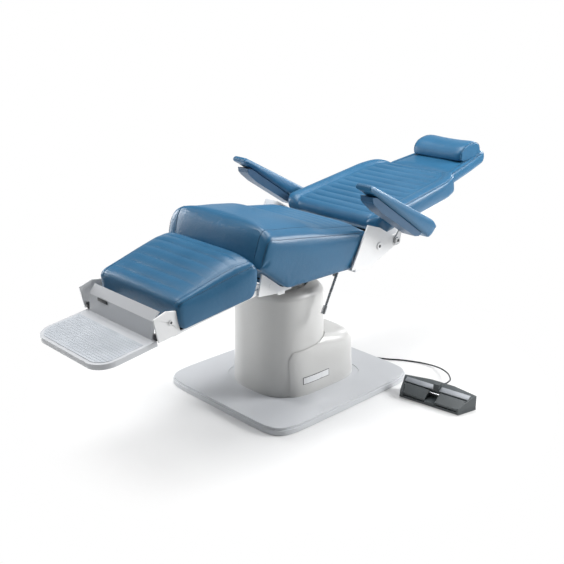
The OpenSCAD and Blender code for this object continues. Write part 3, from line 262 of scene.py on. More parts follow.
def tube(name, line, radius, paint, sides=12):
    """A closed round tube along a line of points."""
    line = [Vector(p) for p in line]
    points, faces = [], []
    side = None
    for i, at in enumerate(line):
        run = (line[min(len(line) - 1, i + 1)] - line[max(0, i - 1)]).normalized()
        if side is None:
            side = run.cross(Vector((0, 0, 1)))
            side = side if side.length > 0.1 else run.cross(Vector((0, 1, 0)))
        side = (side - run * side.dot(run)).normalized()
        up = run.cross(side)
        for k in range(sides):
            turn = 2 * math.pi * k / sides
            points.append(at + radius * (math.cos(turn) * side + math.sin(turn) * up))
    for low in range(0, len(points) - sides, sides):
        for k in range(sides):
            after = (k + 1) % sides
            faces.append((low + k, low + after, low + sides + after, low + sides + k))
    faces += [tuple(range(sides))[::-1], tuple(range(len(points) - sides, len(points)))]
    made = new_piece(name, points, faces, paint)
    face_outwards(made.data)
    made.data.shade_smooth()
    return made


half_turns = 180 * COIL_LOOPS
coil_line = [coil_point(-half_turns + 360 * i / COIL_RINGS) for i in range(COIL_LOOPS * COIL_RINGS + 1)]
cord_line = (smooth_line(LEAD_IN, LEAD_PIECES)[:-1]
             + smooth_line([LEAD_IN[-1], *coil_line, LEAD_OUT[0]], COIL_PIECES)
             + smooth_line(LEAD_OUT, LEAD_PIECES)[1:])
cord_pvc = finish("black_cord_pvc", (0.02, 0.022, 0.025), 0.42, cloud=30, dark=(0.016, 0.018, 0.021),
                  light=(0.03, 0.032, 0.036), gloss=(0.36, 0.5), relief=900, depth=0.0001)
switch_cord = tube("switch_cord", cord_line, CORD_D / 2, cord_pvc)
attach(switch_cord, "base")
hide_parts("cord_lead_in", "cord_coil", "cord_lead_out")

WELD_REACH = 0.00002


def dress(names, paint, edge, crease=32):
    """Gives CAD nodes their finish, small rounded edges and smooth curved faces."""
    for name in names:
        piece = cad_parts[name]
        for place in piece.material_slots:
            place.material = paint
        if not piece.material_slots:
            piece.data.materials.append(paint)
        if "custom_normal" in piece.data.attributes:
            piece.data.attributes.remove(piece.data.attributes["custom_normal"])
        joined = piece.modifiers.new("joined", "WELD")
        joined.merge_threshold = WELD_REACH
        rounded = piece.modifiers.new("rounded", "BEVEL")
        rounded.width = edge
        rounded.segments = 2
        rounded.limit_method = "ANGLE"
        rounded.angle_limit = math.radians(crease)
        rounded.use_clamp_overlap = True
        piece.data.shade_smooth()
        evened = piece.modifiers.new("evened", "WEIGHTED_NORMAL")
        evened.keep_sharp = False


dress(["cord_gland", "cord_tie", "switch_relief", "switch_feet"], cord_pvc, edge=0.0004)

# Base plate
# A heavy steel floor plate under a moulded grey cover with rounded corners. A step runs
# round its edge, and a shallow dish takes the foot of the pedestal covers.
iron = finish("painted_floor_iron", (0.05, 0.052, 0.055), 0.55, cloud=12, dark=(0.04, 0.042, 0.045),
              light=(0.07, 0.072, 0.075), gloss=(0.45, 0.65), relief=700, depth=0.0002)
base_plastic = finish("base_cover_plastic", (0.60, 0.615, 0.64), 0.36, coat=0.12, cloud=3,
                      dark=(0.585, 0.60, 0.625), light=(0.615, 0.63, 0.655), gloss=(0.345, 0.375),
                      relief=1400, depth=0.00005)
dress(["floor_plate"], iron, edge=0.001)
dress(["base_cover"], base_plastic, edge=0.003, crease=40)

# Pedestal and motor covers
# Two moulded shells in warm grey: the tall one hides the lift column, and the low domed one
# behind it hides the drive. They meet along a thin shadow line.
cover_plastic = finish("pedestal_plastic", (0.60, 0.60, 0.59), 0.34, coat=0.2, cloud=2.5,
                       dark=(0.585, 0.585, 0.575), light=(0.615, 0.615, 0.605), gloss=(0.33, 0.37),
                       relief=1200, depth=0.00006)
dress(["pedestal_cover", "motor_cover"], cover_plastic, edge=0.002, crease=40)

# Bare label plate
# A small blank satin plate on a dark rim, stuck to the left side of the motor cover. Both
# follow the cover's curve.
label_white = finish("label_plate", (0.72, 0.73, 0.74), 0.3, metallic=0.3, cloud=40, dark=(0.70, 0.71, 0.72),
                     light=(0.75, 0.76, 0.77), gloss=(0.26, 0.34), relief=1500, depth=0.00002)
label_rim = finish("label_rim", (0.07, 0.075, 0.08), 0.45, cloud=40, dark=(0.06, 0.065, 0.07),
                   light=(0.09, 0.095, 0.10), gloss=(0.4, 0.5), relief=1500, depth=0.00003)
LABEL_Y, LABEL_Z = (-0.100, 0.030), (0.070, 0.098)
LABEL_COLUMNS, LABEL_ROWS = 26, 5
RIM_W, RIM_LOW, RIM_HIGH = 0.0022, 0.0001, 0.0009
FACE_LOW, FACE_HIGH = 0.000825, 0.0015
LEFT_OF_COVER = 0.4


def on_cover(name, inset, low, high, paint):
    """A thin plate that follows the motor cover's side, from low to high above it."""
    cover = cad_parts["motor_cover"]
    to_cover = cover.matrix_world.inverted()
    inwards = to_cover.to_3x3() @ Vector((-1, 0, 0))
    line = LABEL_ROWS + 1
    points, faces = [], []
    for rise in (low, high):
        for i in range(LABEL_COLUMNS + 1):
            for j in range(line):
                y = LABEL_Y[0] + inset + (LABEL_Y[1] - LABEL_Y[0] - 2 * inset) * i / LABEL_COLUMNS
                z = LABEL_Z[0] + inset + (LABEL_Z[1] - LABEL_Z[0] - 2 * inset) * j / LABEL_ROWS
                at = cover.ray_cast(to_cover @ Vector((LEFT_OF_COVER, y, z)), inwards)[1]
                points.append((cover.matrix_world @ at) + Vector((rise, 0, 0)))
    skin = (LABEL_COLUMNS + 1) * line
    for i in range(LABEL_COLUMNS):
        for j in range(LABEL_ROWS):
            quad = [i * line + j, (i + 1) * line + j, (i + 1) * line + j + 1, i * line + j + 1]
            faces += [quad[::-1], [skin + k for k in quad]]
    border = [i * line for i in range(LABEL_COLUMNS)]
    border += [LABEL_COLUMNS * line + j for j in range(LABEL_ROWS)]
    border += [i * line + LABEL_ROWS for i in range(LABEL_COLUMNS, 0, -1)]
    border += range(LABEL_ROWS, 0, -1)
    faces += [[a, b, skin + b, skin + a] for a, b in zip(border, border[1:] + border[:1])]
    made = new_piece(name, points, faces, paint)
    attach(made, "base")
    return made


label_back = on_cover("label_rim", 0, RIM_LOW, RIM_HIGH, label_rim)
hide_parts("blank_label")
on_cover("label_face", RIM_W, FACE_LOW, FACE_HIGH, label_white)

# Lift column
# Nested steel tubes with a nylon bush, an electric lift rod and its control box inside the
# covers. A white sleeve closes the column's top and rises with the chair.
bare_steel = finish("satin_steel", (0.42, 0.43, 0.44), 0.36, metallic=1.0, cloud=18,
                    dark=(0.38, 0.39, 0.40), light=(0.47, 0.48, 0.49), gloss=(0.3, 0.44),
                    relief=260, depth=0.00006, stretch=(1, 1, 12))
chrome = finish("polished_chrome", (0.72, 0.73, 0.75), 0.09, metallic=1.0, cloud=25, dark=(0.69, 0.70, 0.72),
                light=(0.75, 0.76, 0.78), gloss=(0.06, 0.14), relief=1200, depth=0.00002)
sleeve_white = finish("sleeve_plastic", (0.84, 0.84, 0.83), 0.35, cloud=6, dark=(0.82, 0.82, 0.81),
                      light=(0.86, 0.86, 0.85), gloss=(0.3, 0.4), relief=1300, depth=0.00004)
dark_plastic = finish("dark_housing_plastic", (0.035, 0.04, 0.043), 0.42, cloud=14,
                      dark=(0.028, 0.033, 0.036), light=(0.048, 0.054, 0.058), gloss=(0.36, 0.5),
                      relief=1500, depth=0.0001)
dress(["outer_column", "inner_column", "bearing_plate", "turntable"], bare_steel, edge=0.0006)
dress(["lift_rod"], chrome, edge=0.0005)
dress(["lift_sleeve", "column_bush"], sleeve_white, edge=0.0006)
dress(["lift_actuator", "control_box", "recline_motor"], dark_plastic, edge=0.001)

# Seat frame, hinge plates and brackets
# White powder-coated sheet steel: the hinge plates carry the back and the arms, and the front
# brackets carry the legrest. Steel bolts and shafts with white ends join them, and the
# cushions' black plywood boards are screwed on top.
white_paint = finish("white_powder_coat", (0.82, 0.825, 0.83), 0.40, coat=0.08, cloud=8,
                     dark=(0.80, 0.805, 0.81), light=(0.84, 0.845, 0.85), gloss=(0.38, 0.44),
                     relief=420, depth=0.00006)
dress(["seat_frame", "hinge_plate_left", "hinge_plate_right", "front_brackets", "back_frame", "leg_frame"],
      white_paint, edge=0.0009)
plywood = finish("black_painted_plywood", (0.03, 0.03, 0.032), 0.62, cloud=9, dark=(0.022, 0.022, 0.024),
                 light=(0.042, 0.042, 0.044), gloss=(0.55, 0.7), relief=90, depth=0.0002, stretch=(1, 14, 1))
dress(["seat_board", "back_board", "leg_board", "headrest_board"], plywood, edge=0.0006)
dress(["arm_bolts", "recline_shaft", "leg_shaft", "headrest_bars", "footplate_bolts"], chrome,
      edge=0.0005)
# The ends of the bolts and shafts are painted from these distances off the middle
WHITE_BEYOND = {"arm_bolts": 0.2745, "recline_shaft": 0.268, "footplate_bolts": 0.2102, "leg_shaft": 0.2122}
for name, beyond in WHITE_BEYOND.items():
    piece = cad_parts[name]
    piece.data.materials.append(white_paint)
    for face in piece.data.polygons:
        if abs((piece.matrix_world @ face.center).x) > beyond:
            face.material_index = len(piece.data.materials) - 1
dress(["recline_link", "lever_boss", "arm_bracket_left", "arm_bracket_right"], bare_steel,
      edge=0.0006)
dress(["headrest_sockets"], dark_plastic, edge=0.0008)

SIDES = ((1, "left"), (-1, "right"))
# Each bolt's head has a dark disc of painted shade where its round socket is: its body, its place on the left
# side and its radius
BOLT_SOCKET_SHADES = {"arm_bolt": ("chair", (0.2789, 0.282, 0.563), 0.0058),
                "recline_bolt": ("back", (0.2723, 0.187, 0.560), 0.0058),
                "footplate_bolt": ("legrest", (0.2120, -0.704, 0.494), 0.0042)}
SOCKET_DEPTH, SOCKET_RISE, SOCKET_SIDES = 0.001, 0.0004, 24
for name, (body, (x, y, z), r) in BOLT_SOCKET_SHADES.items():
    for side, word in SIDES:
        ends = [(side * (x - SOCKET_DEPTH), y, z), (side * (x + SOCKET_RISE), y, z)]
        socket = tube(name + "_socket_shade_" + word, ends, r, dark_plastic, SOCKET_SIDES)
        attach(socket, body)

# Swivel lock lever
# A polished steel rod with a heavier end, hanging under the seat's left edge from a boss on the
# seat frame. Turning it locks the seat on its bearing plate.
lever_steel = finish("lever_steel", (0.70, 0.71, 0.72), 0.26, metallic=0.9, cloud=25, dark=(0.66, 0.67, 0.68),
                     light=(0.74, 0.75, 0.76), gloss=(0.22, 0.3), relief=1200, depth=0.00003)
dress(["lock_lever", "lever_grip"], lever_steel, edge=0.0008)

# Seat cushion
# Dense foam on a plywood board, covered in blue vinyl. The top panel rises to a thick nose
# and is sewn to the side panels along its edge, with a second row of stitches beside it.
vinyl = finish("blue_vinyl", (0.023, 0.121, 0.238), 0.38, coat=0.12, cloud=7, dark=(0.020, 0.112, 0.222),
               light=(0.026, 0.131, 0.254), gloss=(0.35, 0.41), relief=620, depth=0.00016, kind="pebble")
VINYL_SPECULAR = 0.36
vinyl.node_tree.nodes["Principled BSDF"].inputs["Specular IOR Level"].default_value = VINYL_SPECULAR
grain(vinyl, scale=60, depth=0.0006)
thread = finish("seam_thread", (0.04, 0.15, 0.29), 0.6, cloud=300, dark=(0.033, 0.135, 0.265),
                light=(0.05, 0.17, 0.32), gloss=(0.5, 0.7), relief=2500, depth=0.0001)
# Painted seam shade: a dark blue for thin tubes along each seam, standing in for the shade in the sewn groove
painted_seam_shade = finish("painted_seam_shade", (0.006, 0.032, 0.065), 0.6, cloud=200, dark=(0.005, 0.027, 0.055),
                   light=(0.008, 0.038, 0.075), gloss=(0.55, 0.7), relief=1500, depth=0.0001)


def eased(at, table, soften=0.012):
    """Value at each place from a table of straight pieces, with its corners softened."""
    place = np.array([p for p, _ in table])
    value = np.array([v for _, v in table])
    steps = np.linspace(-1, 1, 9)
    reach = np.clip(np.minimum(at, 1 - at), 0, soften)
    return np.mean([np.interp(at + k * reach, place, value) for k in steps], axis=0)


# A pad's cross-section: how far from a sewn row the top is pressed and how wide its stitches hold,
# how a crown falls away towards the sides, how much of a thin end its rounded edges may take, how
# deep the second seam is beside the first, and the steps round each edge
STITCH_REACH, STITCH_W = 0.0045, 0.001
ROLL = 6
EDGE_SHARE, BAND_SHARE = 0.46, 0.8
BAND_STEPS, SIDE_STEPS = 6, 10
UNDER_TURNS, TOP_TURNS, SEAM_TURN = (-60, -30, 0), (0, 22, 45, 68), 45


def sewing_at(y, channels, groove, puff):
    """The distance from a place to the nearest sewn row, and how deep the top is pressed in there."""
    sewn = min([abs(y - c) for c in channels], default=1)
    pitch = (channels[-1] - channels[0]) / (len(channels) - 1) if len(channels) > 1 else 1
    beyond = min(1, max(0, 1 - (sewn - pitch / 2) / (pitch / 2)))
    arch = 1 - (1 - min(1, 2 * sewn / pitch)) ** 2
    return sewn, groove * math.exp(-(sewn / STITCH_REACH) ** 2) - puff * arch * beyond


def cushion(name, place, half_width, low, top, crown, channels=(), groove=0.0, puff=0.0, fade=0.02, band=0.03,
            inner=28, corner=0.012, seam=0.0012, bolster=0.0, to_frame=Matrix()):
    """A closed pad as rows of points across it, one row for each place along it.

    Its four long edges are rounded, the seam lies along the top edges, and channels are the
    places of sewn rows, pressed in by groove, with the filling puffed up between them; both
    fade out over the last stretch, fade, before the bands at the sides, which rise by bolster.
    Returns the object, the points that its sewing and its board hold in place, and its four
    long seams.
    """
    def half_row(y, side_x, under_z, top_z, rise):
        """From the middle underneath to the middle on top: across, height, and whether it is held."""
        r = min(corner, EDGE_SHARE * (top_z - under_z))
        flat = side_x - r
        xs = np.concatenate([np.linspace(0, max(flat - band, 0.001), inner + 1),
                             np.linspace(flat - band, flat, BAND_STEPS)[1:]])
        sewn, press = sewing_at(y, channels, groove, puff)

        def bolster_at(x):
            return bolster * math.sin(math.pi * min(1, max(0, x - xs[inner]) / (side_x - xs[inner])))

        half = [(x, under_z, True) for x in xs]
        for a in np.radians(UNDER_TURNS):
            half.append((flat + r * math.cos(a), under_z + r + r * math.sin(a), False))
        for k in range(1, SIDE_STEPS):
            half.append((side_x, under_z + r + (top_z - under_z - 2 * r) * k / SIDE_STEPS, False))
        for turn in TOP_TURNS:
            a = math.radians(turn)
            d = r - (seam if turn == SEAM_TURN else 0)
            x = flat + d * math.cos(a)
            over = (d + rise * (1 - min(1, x / side_x) ** ROLL)) * math.sin(a)
            half.append((x, top_z - r + bolster_at(x) + over, turn == SEAM_TURN))
        for i, x in reversed(list(enumerate(xs))):
            pressed = press * min(1, max(0, (xs[inner] - x) / fade))
            drawn = seam * BAND_SHARE if i == inner else 0
            half.append((x, top_z + rise * (1 - (x / side_x) ** ROLL) - pressed + bolster_at(x) - drawn,
                         i == inner or (i <= inner and sewn < STITCH_W)))
        return half

    rows = []
    for y, *sizes in zip(place, half_width, low, top, crown):
        half = half_row(y, *sizes)
        whole = half + [(-x, z, fixed) for x, z, fixed in half[-2:0:-1]]
        rows.append([((x, y, z), fixed) for x, z, fixed in whole])
    points = [to_frame @ Vector(p) for row in rows for p, _ in row]
    held = [i for i, (_, fixed) in enumerate(spot for row in rows for spot in row) if fixed]

    n = len(rows[0])
    across = inner + BAND_STEPS
    side_top = across + len(UNDER_TURNS) + SIDE_STEPS - 1
    edge_seam = side_top + TOP_TURNS.index(SEAM_TURN)
    band_seam = side_top + len(TOP_TURNS) + BAND_STEPS - 1
    seams = [[k * n + j for k in range(len(rows))]
             for j in (band_seam, n - band_seam, edge_seam, n - edge_seam)]

    faces = [(k * n + i, k * n + (i + 1) % n, (k + 1) * n + (i + 1) % n, (k + 1) * n + i)
             for k in range(len(rows) - 1) for i in range(n)]
    middle = n // 2
    for start, turned in ((0, False), ((len(rows) - 1) * n, True)):
        for side in (1, -1):
            for i in range(across - 1):
                quad = [start + (side * j) % n for j in (i, i + 1, middle - i - 1, middle - i)]
                faces.append(quad if (side > 0) == turned else quad[::-1])
            wall = [start + (side * j) % n for j in range(across - 1, middle - across + 2)]
            faces.append(wall if (side > 0) == turned else wall[::-1])
    made = new_piece(name, points, faces, vinyl)
    made.data.validate()
    face_outwards(made.data)
    return made, held, seams


CLOTH_PRESSURE, CLOTH_FRAMES = 4.0, 20


def swell(pad, held, cap):
    """Cloth under pressure from the foam: the panels fill out between their seams, up to cap."""
    rest = np.array([v.co for v in pad.data.vertices])
    group = pad.vertex_groups.new(name="held")
    group.add(held, 1.0, "REPLACE")
    cloth = pad.modifiers.new("filling", "CLOTH")
    cloth.settings.quality = 5
    cloth.settings.mass = 0.3
    cloth.settings.tension_stiffness = cloth.settings.compression_stiffness = 18
    cloth.settings.shear_stiffness = 8
    cloth.settings.bending_stiffness = 1.5
    cloth.settings.use_pressure = True
    cloth.settings.uniform_pressure_force = CLOTH_PRESSURE
    cloth.settings.effector_weights.gravity = 0
    cloth.settings.vertex_group_mass = "held"
    cloth.collision_settings.use_collision = False
    for step in range(1, CLOTH_FRAMES + 1):
        scene.frame_set(step)
    full = pad.evaluated_get(bpy.context.evaluated_depsgraph_get())
    moved = np.array([v.co for v in full.data.vertices]) - rest
    pad.modifiers.remove(cloth)
    pad.vertex_groups.clear()
    scene.frame_set(1)
    far = np.linalg.norm(moved, axis=1)
    share = np.minimum(1, cap * np.tanh(far / cap) / np.maximum(far, 1e-9))
    pad.data.vertices.foreach_set("co", (rest + moved * share[:, None]).ravel())
    pad.data.update()
    finer = pad.modifiers.new("finer", "SUBSURF")
    finer.levels = finer.render_levels = 1
    pad.data.shade_smooth()


def upholster(pad, node, body):
    """Fixes a filled pad to its body, in place of the plain cushion."""
    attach(pad, body)
    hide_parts(node)


# A stitch is a short thread with thinner ends, in steps along its length with their thickness
STITCH_PITCH, STITCH_SHARE, STITCH_RISE, THREAD_R, THREAD_SIDES = 0.0065, 0.72, 0.0009, 0.00045, 6
STITCH_ENDS = ((-0.5, 0.35), (-0.32, 1), (0.32, 1), (0.5, 0.35))
# The radius of the dark tubes of painted seam shade, and how far they stand off the pad
SEAM_SHADE_R, SEAM_SHADE_RISE = 0.0010, 0.0001


def stitch_spots(line, normals):
    """Evenly spaced places along a seam, each with the seam's direction and the way out of the pad."""
    run, spots = 0.0, []
    for a, b, up in zip(line, line[1:], normals):
        span = (b - a).length
        while span > 0 and run < span:
            spots.append((a + (b - a) * (run / span), (b - a).normalized(), up))
            run += STITCH_PITCH
        run -= span
    return spots[1:-1]


def sew(pad, seams, body):
    """Rows of short stitches, and under them a dark tube of painted seam shade, made after the pad has been
    filled.
    """
    points, faces = [], []
    for number, seam in enumerate(seams):
        line = [pad.data.vertices[i].co.copy() for i in seam]
        normals = [pad.data.vertices[i].normal.copy() for i in seam]
        # A dark tube along each seam paints the shade that falls in its groove
        raised = [a + up * SEAM_SHADE_RISE for a, up in zip(line, normals)]
        seam_shade_tube = tube(pad.name + "_seam_shade_%d" % number, raised[2:-2], SEAM_SHADE_R, painted_seam_shade, sides=6)
        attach(seam_shade_tube, body)
        for at, along, up in stitch_spots(line, normals):
            side = along.cross(up).normalized()
            up = side.cross(along).normalized()
            start = len(points)
            for step, size in STITCH_ENDS:
                for k in range(THREAD_SIDES):
                    a = 2 * math.pi * k / THREAD_SIDES
                    out = (side * math.cos(a) + up * math.sin(a)) * THREAD_R * size
                    points.append(at + along * (step * STITCH_PITCH * STITCH_SHARE) + out + up * STITCH_RISE)
            for low in range(start, len(points) - THREAD_SIDES, THREAD_SIDES):
                high = low + THREAD_SIDES
                for j in range(THREAD_SIDES):
                    after = (j + 1) % THREAD_SIDES
                    faces.append([low + j, low + after, high + after, high + j])
            faces += [[start + j for j in reversed(range(THREAD_SIDES))],
                      [len(points) - THREAD_SIDES + j for j in range(THREAD_SIDES)]]
    stitches = new_piece(pad.name + "_stitches", points, faces, thread)
    stitches.data.shade_smooth()
    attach(stitches, body)


def rounded_ends(at, width, share):
    """Half the width at each place along a pad, with its corners rounded over a share of it."""
    near = np.minimum(at, 1 - at)
    bend = 1 - np.sqrt(np.clip(1 - (1 - near / share) ** 2, 0, 1))
    return width / 2 - np.where(near < share, bend, 0) * width * share / 2


# Each pad's tables give shares of its length from the feet end, and there the share of its width
# or height
SEAT_FRONT, SEAT_L, SEAT_W, SEAT_H, SEAT_UNDER = -0.371, 0.522, 0.508, 0.193, 0.495
SEAT_TOP = [(0, 0.53), (0.02, 0.7), (0.042, 0.88), (0.065, 0.965), (0.095, 0.99), (0.14, 0.955), (0.5, 0.818),
            (0.955, 0.66), (0.985, 0.625), (1, 0.585)]
SEAT_CROWN = [(0, 0), (0.02, 0.06), (0.05, 0.14), (0.1, 0.2), (0.3, 0.22), (0.48, 0.215), (0.6, 0.13),
              (0.925, 0.115), (0.955, 0.02), (1, 0)]
SEAT_LOW = [(0, 0.5), (0.06, 0.395), (0.15, 0.21), (0.21, 0.08), (0.235, 0.03), (0.28, 0.015), (0.8, 0),
            (0.83, 0.02), (0.9, 0.26), (0.97, 0.5), (1, 0.56)]
seat_rows = np.array([0.56, 0.63, 0.70, 0.77, 0.84, 0.91])
seat_at = np.unique(np.concatenate([
    np.linspace(0, 0.1, 14)[:-1], np.linspace(0.1, 0.94, 52), np.linspace(0.94, 1, 7)[1:],
    seat_rows - 0.006, seat_rows, seat_rows + 0.006]))
seat_cushion, seat_held, seat_seams = cushion(
    "seat_cushion_cover", SEAT_FRONT + seat_at * SEAT_L, rounded_ends(seat_at, SEAT_W, share=0.045),
    low=SEAT_UNDER + SEAT_H * eased(seat_at, SEAT_LOW), top=SEAT_UNDER + SEAT_H * eased(seat_at, SEAT_TOP),
    crown=SEAT_H * eased(seat_at, SEAT_CROWN, soften=0.02), channels=SEAT_FRONT + seat_rows * SEAT_L,
    groove=0.0013, puff=0.0012, fade=0.06, band=0.03, seam=0.002)
swell(seat_cushion, seat_held, cap=0.005)
upholster(seat_cushion, "seat_cushion", "chair")
sew(seat_cushion, seat_seams, "chair")

# Back cushion
# A thinner pad in the same vinyl, sewn across into eleven channels between two raised side
# bolsters. It narrows towards the headrest.
RECLINE_AT, RECLINE_TURN = (0, 0.187, 0.560), math.radians(9.4)
RECLINE = Matrix.Translation(RECLINE_AT) @ Matrix.Rotation(RECLINE_TURN, 4, "X")
BACK_FRONT, BACK_L, BACK_W, BACK_LOW, BACK_T, BACK_SINK = 0.038, 0.531, 0.494, 0.017, 0.064, 0.008
BACK_WIDTH = [(0, 0.93), (0.012, 0.97), (0.03, 0.99), (0.055, 1), (0.8, 0.955), (0.9, 0.9), (0.95, 0.82),
              (0.985, 0.72), (1, 0.66)]
BACK_TOP = [(0, 0.62), (0.012, 0.84), (0.03, 0.95), (0.055, 1), (0.94, 1), (0.965, 0.96), (0.985, 0.88),
            (1, 0.7)]
BACK_UNDER = [(0, 0.4), (0.012, 0.2), (0.03, 0.06), (0.055, 0), (0.94, 0), (0.985, 0.06), (1, 0.3)]
ROW_STEPS = (-0.02, -0.012, -0.0055, 0, 0.0055, 0.012, 0.02)
END_STEPS = (0.006, 0.012, 0.018)


def places(channels, step):
    """Places along a pad: every step, closer at its ends, and a few round each sewn row."""
    sewn = [c + d for c in channels for d in ROW_STEPS]
    plain = [p for p in np.arange(0, 1 + step / 2, step) if all(abs(p - q) > 0.4 * step for q in sewn)]
    close = [e for d in END_STEPS for e in (d, 1 - d)]
    return np.array(sorted({round(min(1, max(0, p)), 5) for p in sewn + plain + close}))


back_rows = np.linspace(0.075, 0.92, 11)
back_at = places(back_rows, step=0.0125)
back_cushion, back_held, back_seams = cushion(
    "back_cushion_cover", BACK_FRONT + back_at * BACK_L, BACK_W / 2 * eased(back_at, BACK_WIDTH, soften=0.02),
    low=BACK_LOW + BACK_T * eased(back_at, BACK_UNDER),
    top=BACK_LOW + (BACK_T + BACK_SINK) * eased(back_at, BACK_TOP), crown=np.full(len(back_at), -BACK_SINK),
    channels=BACK_FRONT + back_rows * BACK_L, groove=0.0028, puff=0.0024, fade=0.03, band=0.045, seam=0.003,
    bolster=0.006, to_frame=RECLINE)
swell(back_cushion, back_held, cap=0.006)
upholster(back_cushion, "back_cushion", "back")
sew(back_cushion, back_seams, "back")

# Headrest
# A flat tapered pad on a board, covered in the same vinyl. It slides out of the back on two
# chromed bars.
HEAD_FRONT, HEAD_L, HEAD_W, HEAD_LOW, HEAD_T = 0.573, 0.325, 0.330, 0.019, 0.050
HEAD_WIDTH = [(0, 0.96), (0.03, 1), (0.5, 0.88), (0.85, 0.76), (0.95, 0.68), (1, 0.6)]
HEAD_TOP = [(0, 0.65), (0.015, 0.85), (0.04, 0.96), (0.08, 1), (0.88, 1), (0.94, 0.96), (0.975, 0.84),
            (1, 0.6)]
HEAD_UNDER = [(0, 0.35), (0.015, 0.15), (0.04, 0.04), (0.08, 0), (0.88, 0), (0.94, 0.04), (0.975, 0.17),
              (1, 0.4)]
head_at = places([], step=0.025)
headrest, head_held, head_seams = cushion(
    "headrest_cover", HEAD_FRONT + head_at * HEAD_L, HEAD_W / 2 * eased(head_at, HEAD_WIDTH, soften=0.03),
    low=HEAD_LOW + HEAD_T * eased(head_at, HEAD_UNDER), top=HEAD_LOW + HEAD_T * eased(head_at, HEAD_TOP),
    crown=np.zeros(len(head_at)), band=0.012, to_frame=RECLINE)
swell(headrest, head_held, cap=0.005)
upholster(headrest, "headrest_cushion", "headrest")
sew(headrest, head_seams, "headrest")

# Neck pillow
# A bolster filled with soft foam, lower in its middle and bellied underneath, that lies across
# the headrest. It is sewn round near both ends.
PILLOW_AT, PILLOW_FLOOR, PILLOW_FLAT = 0.770, 0.0693, 0.004
PILLOW_W, PILLOW_D, PILLOW_H, PILLOW_SADDLE = 0.250, 0.152, 0.068, 0.007
PILLOW_BELLY, PILLOW_END, PILLOW_SQUARE, PILLOW_CAP, PILLOW_ROUND = 0.22, 0.42, 12, 0.3, 0.8
PILLOW_ACROSS, PILLOW_ROUNDS, PILLOW_SEAM = 56, 48, 5


def pillow_point(i, j):
    """A point of the pillow's skin, i steps across it and j steps round it."""
    u = -math.cos(math.pi * i / PILLOW_ACROSS)
    k = (1 - PILLOW_END * abs(u) ** PILLOW_SQUARE) ** PILLOW_CAP
    h = k * (PILLOW_H - PILLOW_SADDLE * (1 - u * u))
    a = 2 * math.pi * (j + 0.5) / PILLOW_ROUNDS
    c, t = math.cos(a), math.sin(a)
    return (u * PILLOW_W / 2, PILLOW_AT + k * PILLOW_D / 2 * math.copysign(abs(c) ** PILLOW_ROUND, c),
            PILLOW_FLOOR + PILLOW_BELLY * h + h * (1 - PILLOW_BELLY if t > 0 else -PILLOW_BELLY)
            * abs(t) ** PILLOW_ROUND)


pillow_points = [pillow_point(i, j) for i in range(PILLOW_ACROSS + 1) for j in range(PILLOW_ROUNDS)]
pillow_faces = []
for low in range(0, PILLOW_ACROSS * PILLOW_ROUNDS, PILLOW_ROUNDS):
    high = low + PILLOW_ROUNDS
    for j in range(PILLOW_ROUNDS):
        after = (j + 1) % PILLOW_ROUNDS
        pillow_faces.append((low + j, high + j, high + after, low + after))
pillow_faces += [tuple(range(PILLOW_ROUNDS)),
                 tuple(range(PILLOW_ACROSS * PILLOW_ROUNDS, len(pillow_points)))[::-1]]
neck_pillow = new_piece("neck_pillow_cover", [RECLINE @ Vector(p) for p in pillow_points], pillow_faces,
                        vinyl)
face_outwards(neck_pillow.data)
pillow_seams = [[i * PILLOW_ROUNDS + j for j in range(PILLOW_ROUNDS // 2)]
                for i in (PILLOW_SEAM, PILLOW_ACROSS - PILLOW_SEAM)]
pillow_rests = {i for i, p in enumerate(pillow_points) if p[2] < PILLOW_FLOOR + PILLOW_FLAT}
pillow_held = sorted(pillow_rests.union(*pillow_seams))
swell(neck_pillow, pillow_held, cap=0.004)
upholster(neck_pillow, "neck_pillow", "pillow")
sew(neck_pillow, pillow_seams, "pillow")

# Legrest cushion
# A foam wedge on its own board, thicker at the knee, in the same vinyl. Six sewn channels run
# across its top, and it folds down with the legrest's frame.
LEG_FRONT, LEG_L, LEG_W, LEG_LOW, LEG_H = -0.679, 0.304, 0.488, 0.458, 0.157
LEG_NARROW = 0.897
LEG_TOP = [(0, 0.5), (0.018, 0.57), (0.045, 0.6), (0.09, 0.625), (0.93, 0.975), (0.955, 0.97), (0.98, 0.93),
           (1, 0.83)]
LEG_UNDER = [(0, 0.45), (0.018, 0.2), (0.045, 0.03), (0.08, 0.005), (0.9, 0.26), (0.93, 0.29), (0.96, 0.4),
             (1, 0.74)]
LEG_CROWN = [(0, 0.02), (0.1, 0.05), (0.3, 0.12), (0.55, 0.21), (0.75, 0.25), (0.93, 0.18), (0.98, 0.07),
             (1, 0)]
leg_rows = np.linspace(0.14, 0.82, 6)
leg_at = places(leg_rows, step=0.022)
leg_cushion, leg_held, leg_seams = cushion(
    "leg_cushion_cover", LEG_FRONT + leg_at * LEG_L,
    rounded_ends(leg_at, width=1, share=0.045) * LEG_W * (LEG_NARROW + (1 - LEG_NARROW) * leg_at),
    low=LEG_LOW + LEG_H * eased(leg_at, LEG_UNDER), top=LEG_LOW + LEG_H * eased(leg_at, LEG_TOP),
    crown=LEG_H * eased(leg_at, LEG_CROWN, soften=0.02), channels=LEG_FRONT + leg_rows * LEG_L,
    groove=0.0019, puff=0.0012, fade=0.09, band=0.010, seam=0.0022)
swell(leg_cushion, leg_held, cap=0.006)
upholster(leg_cushion, "leg_cushion", "legrest")
sew(leg_cushion, leg_seams, "legrest")

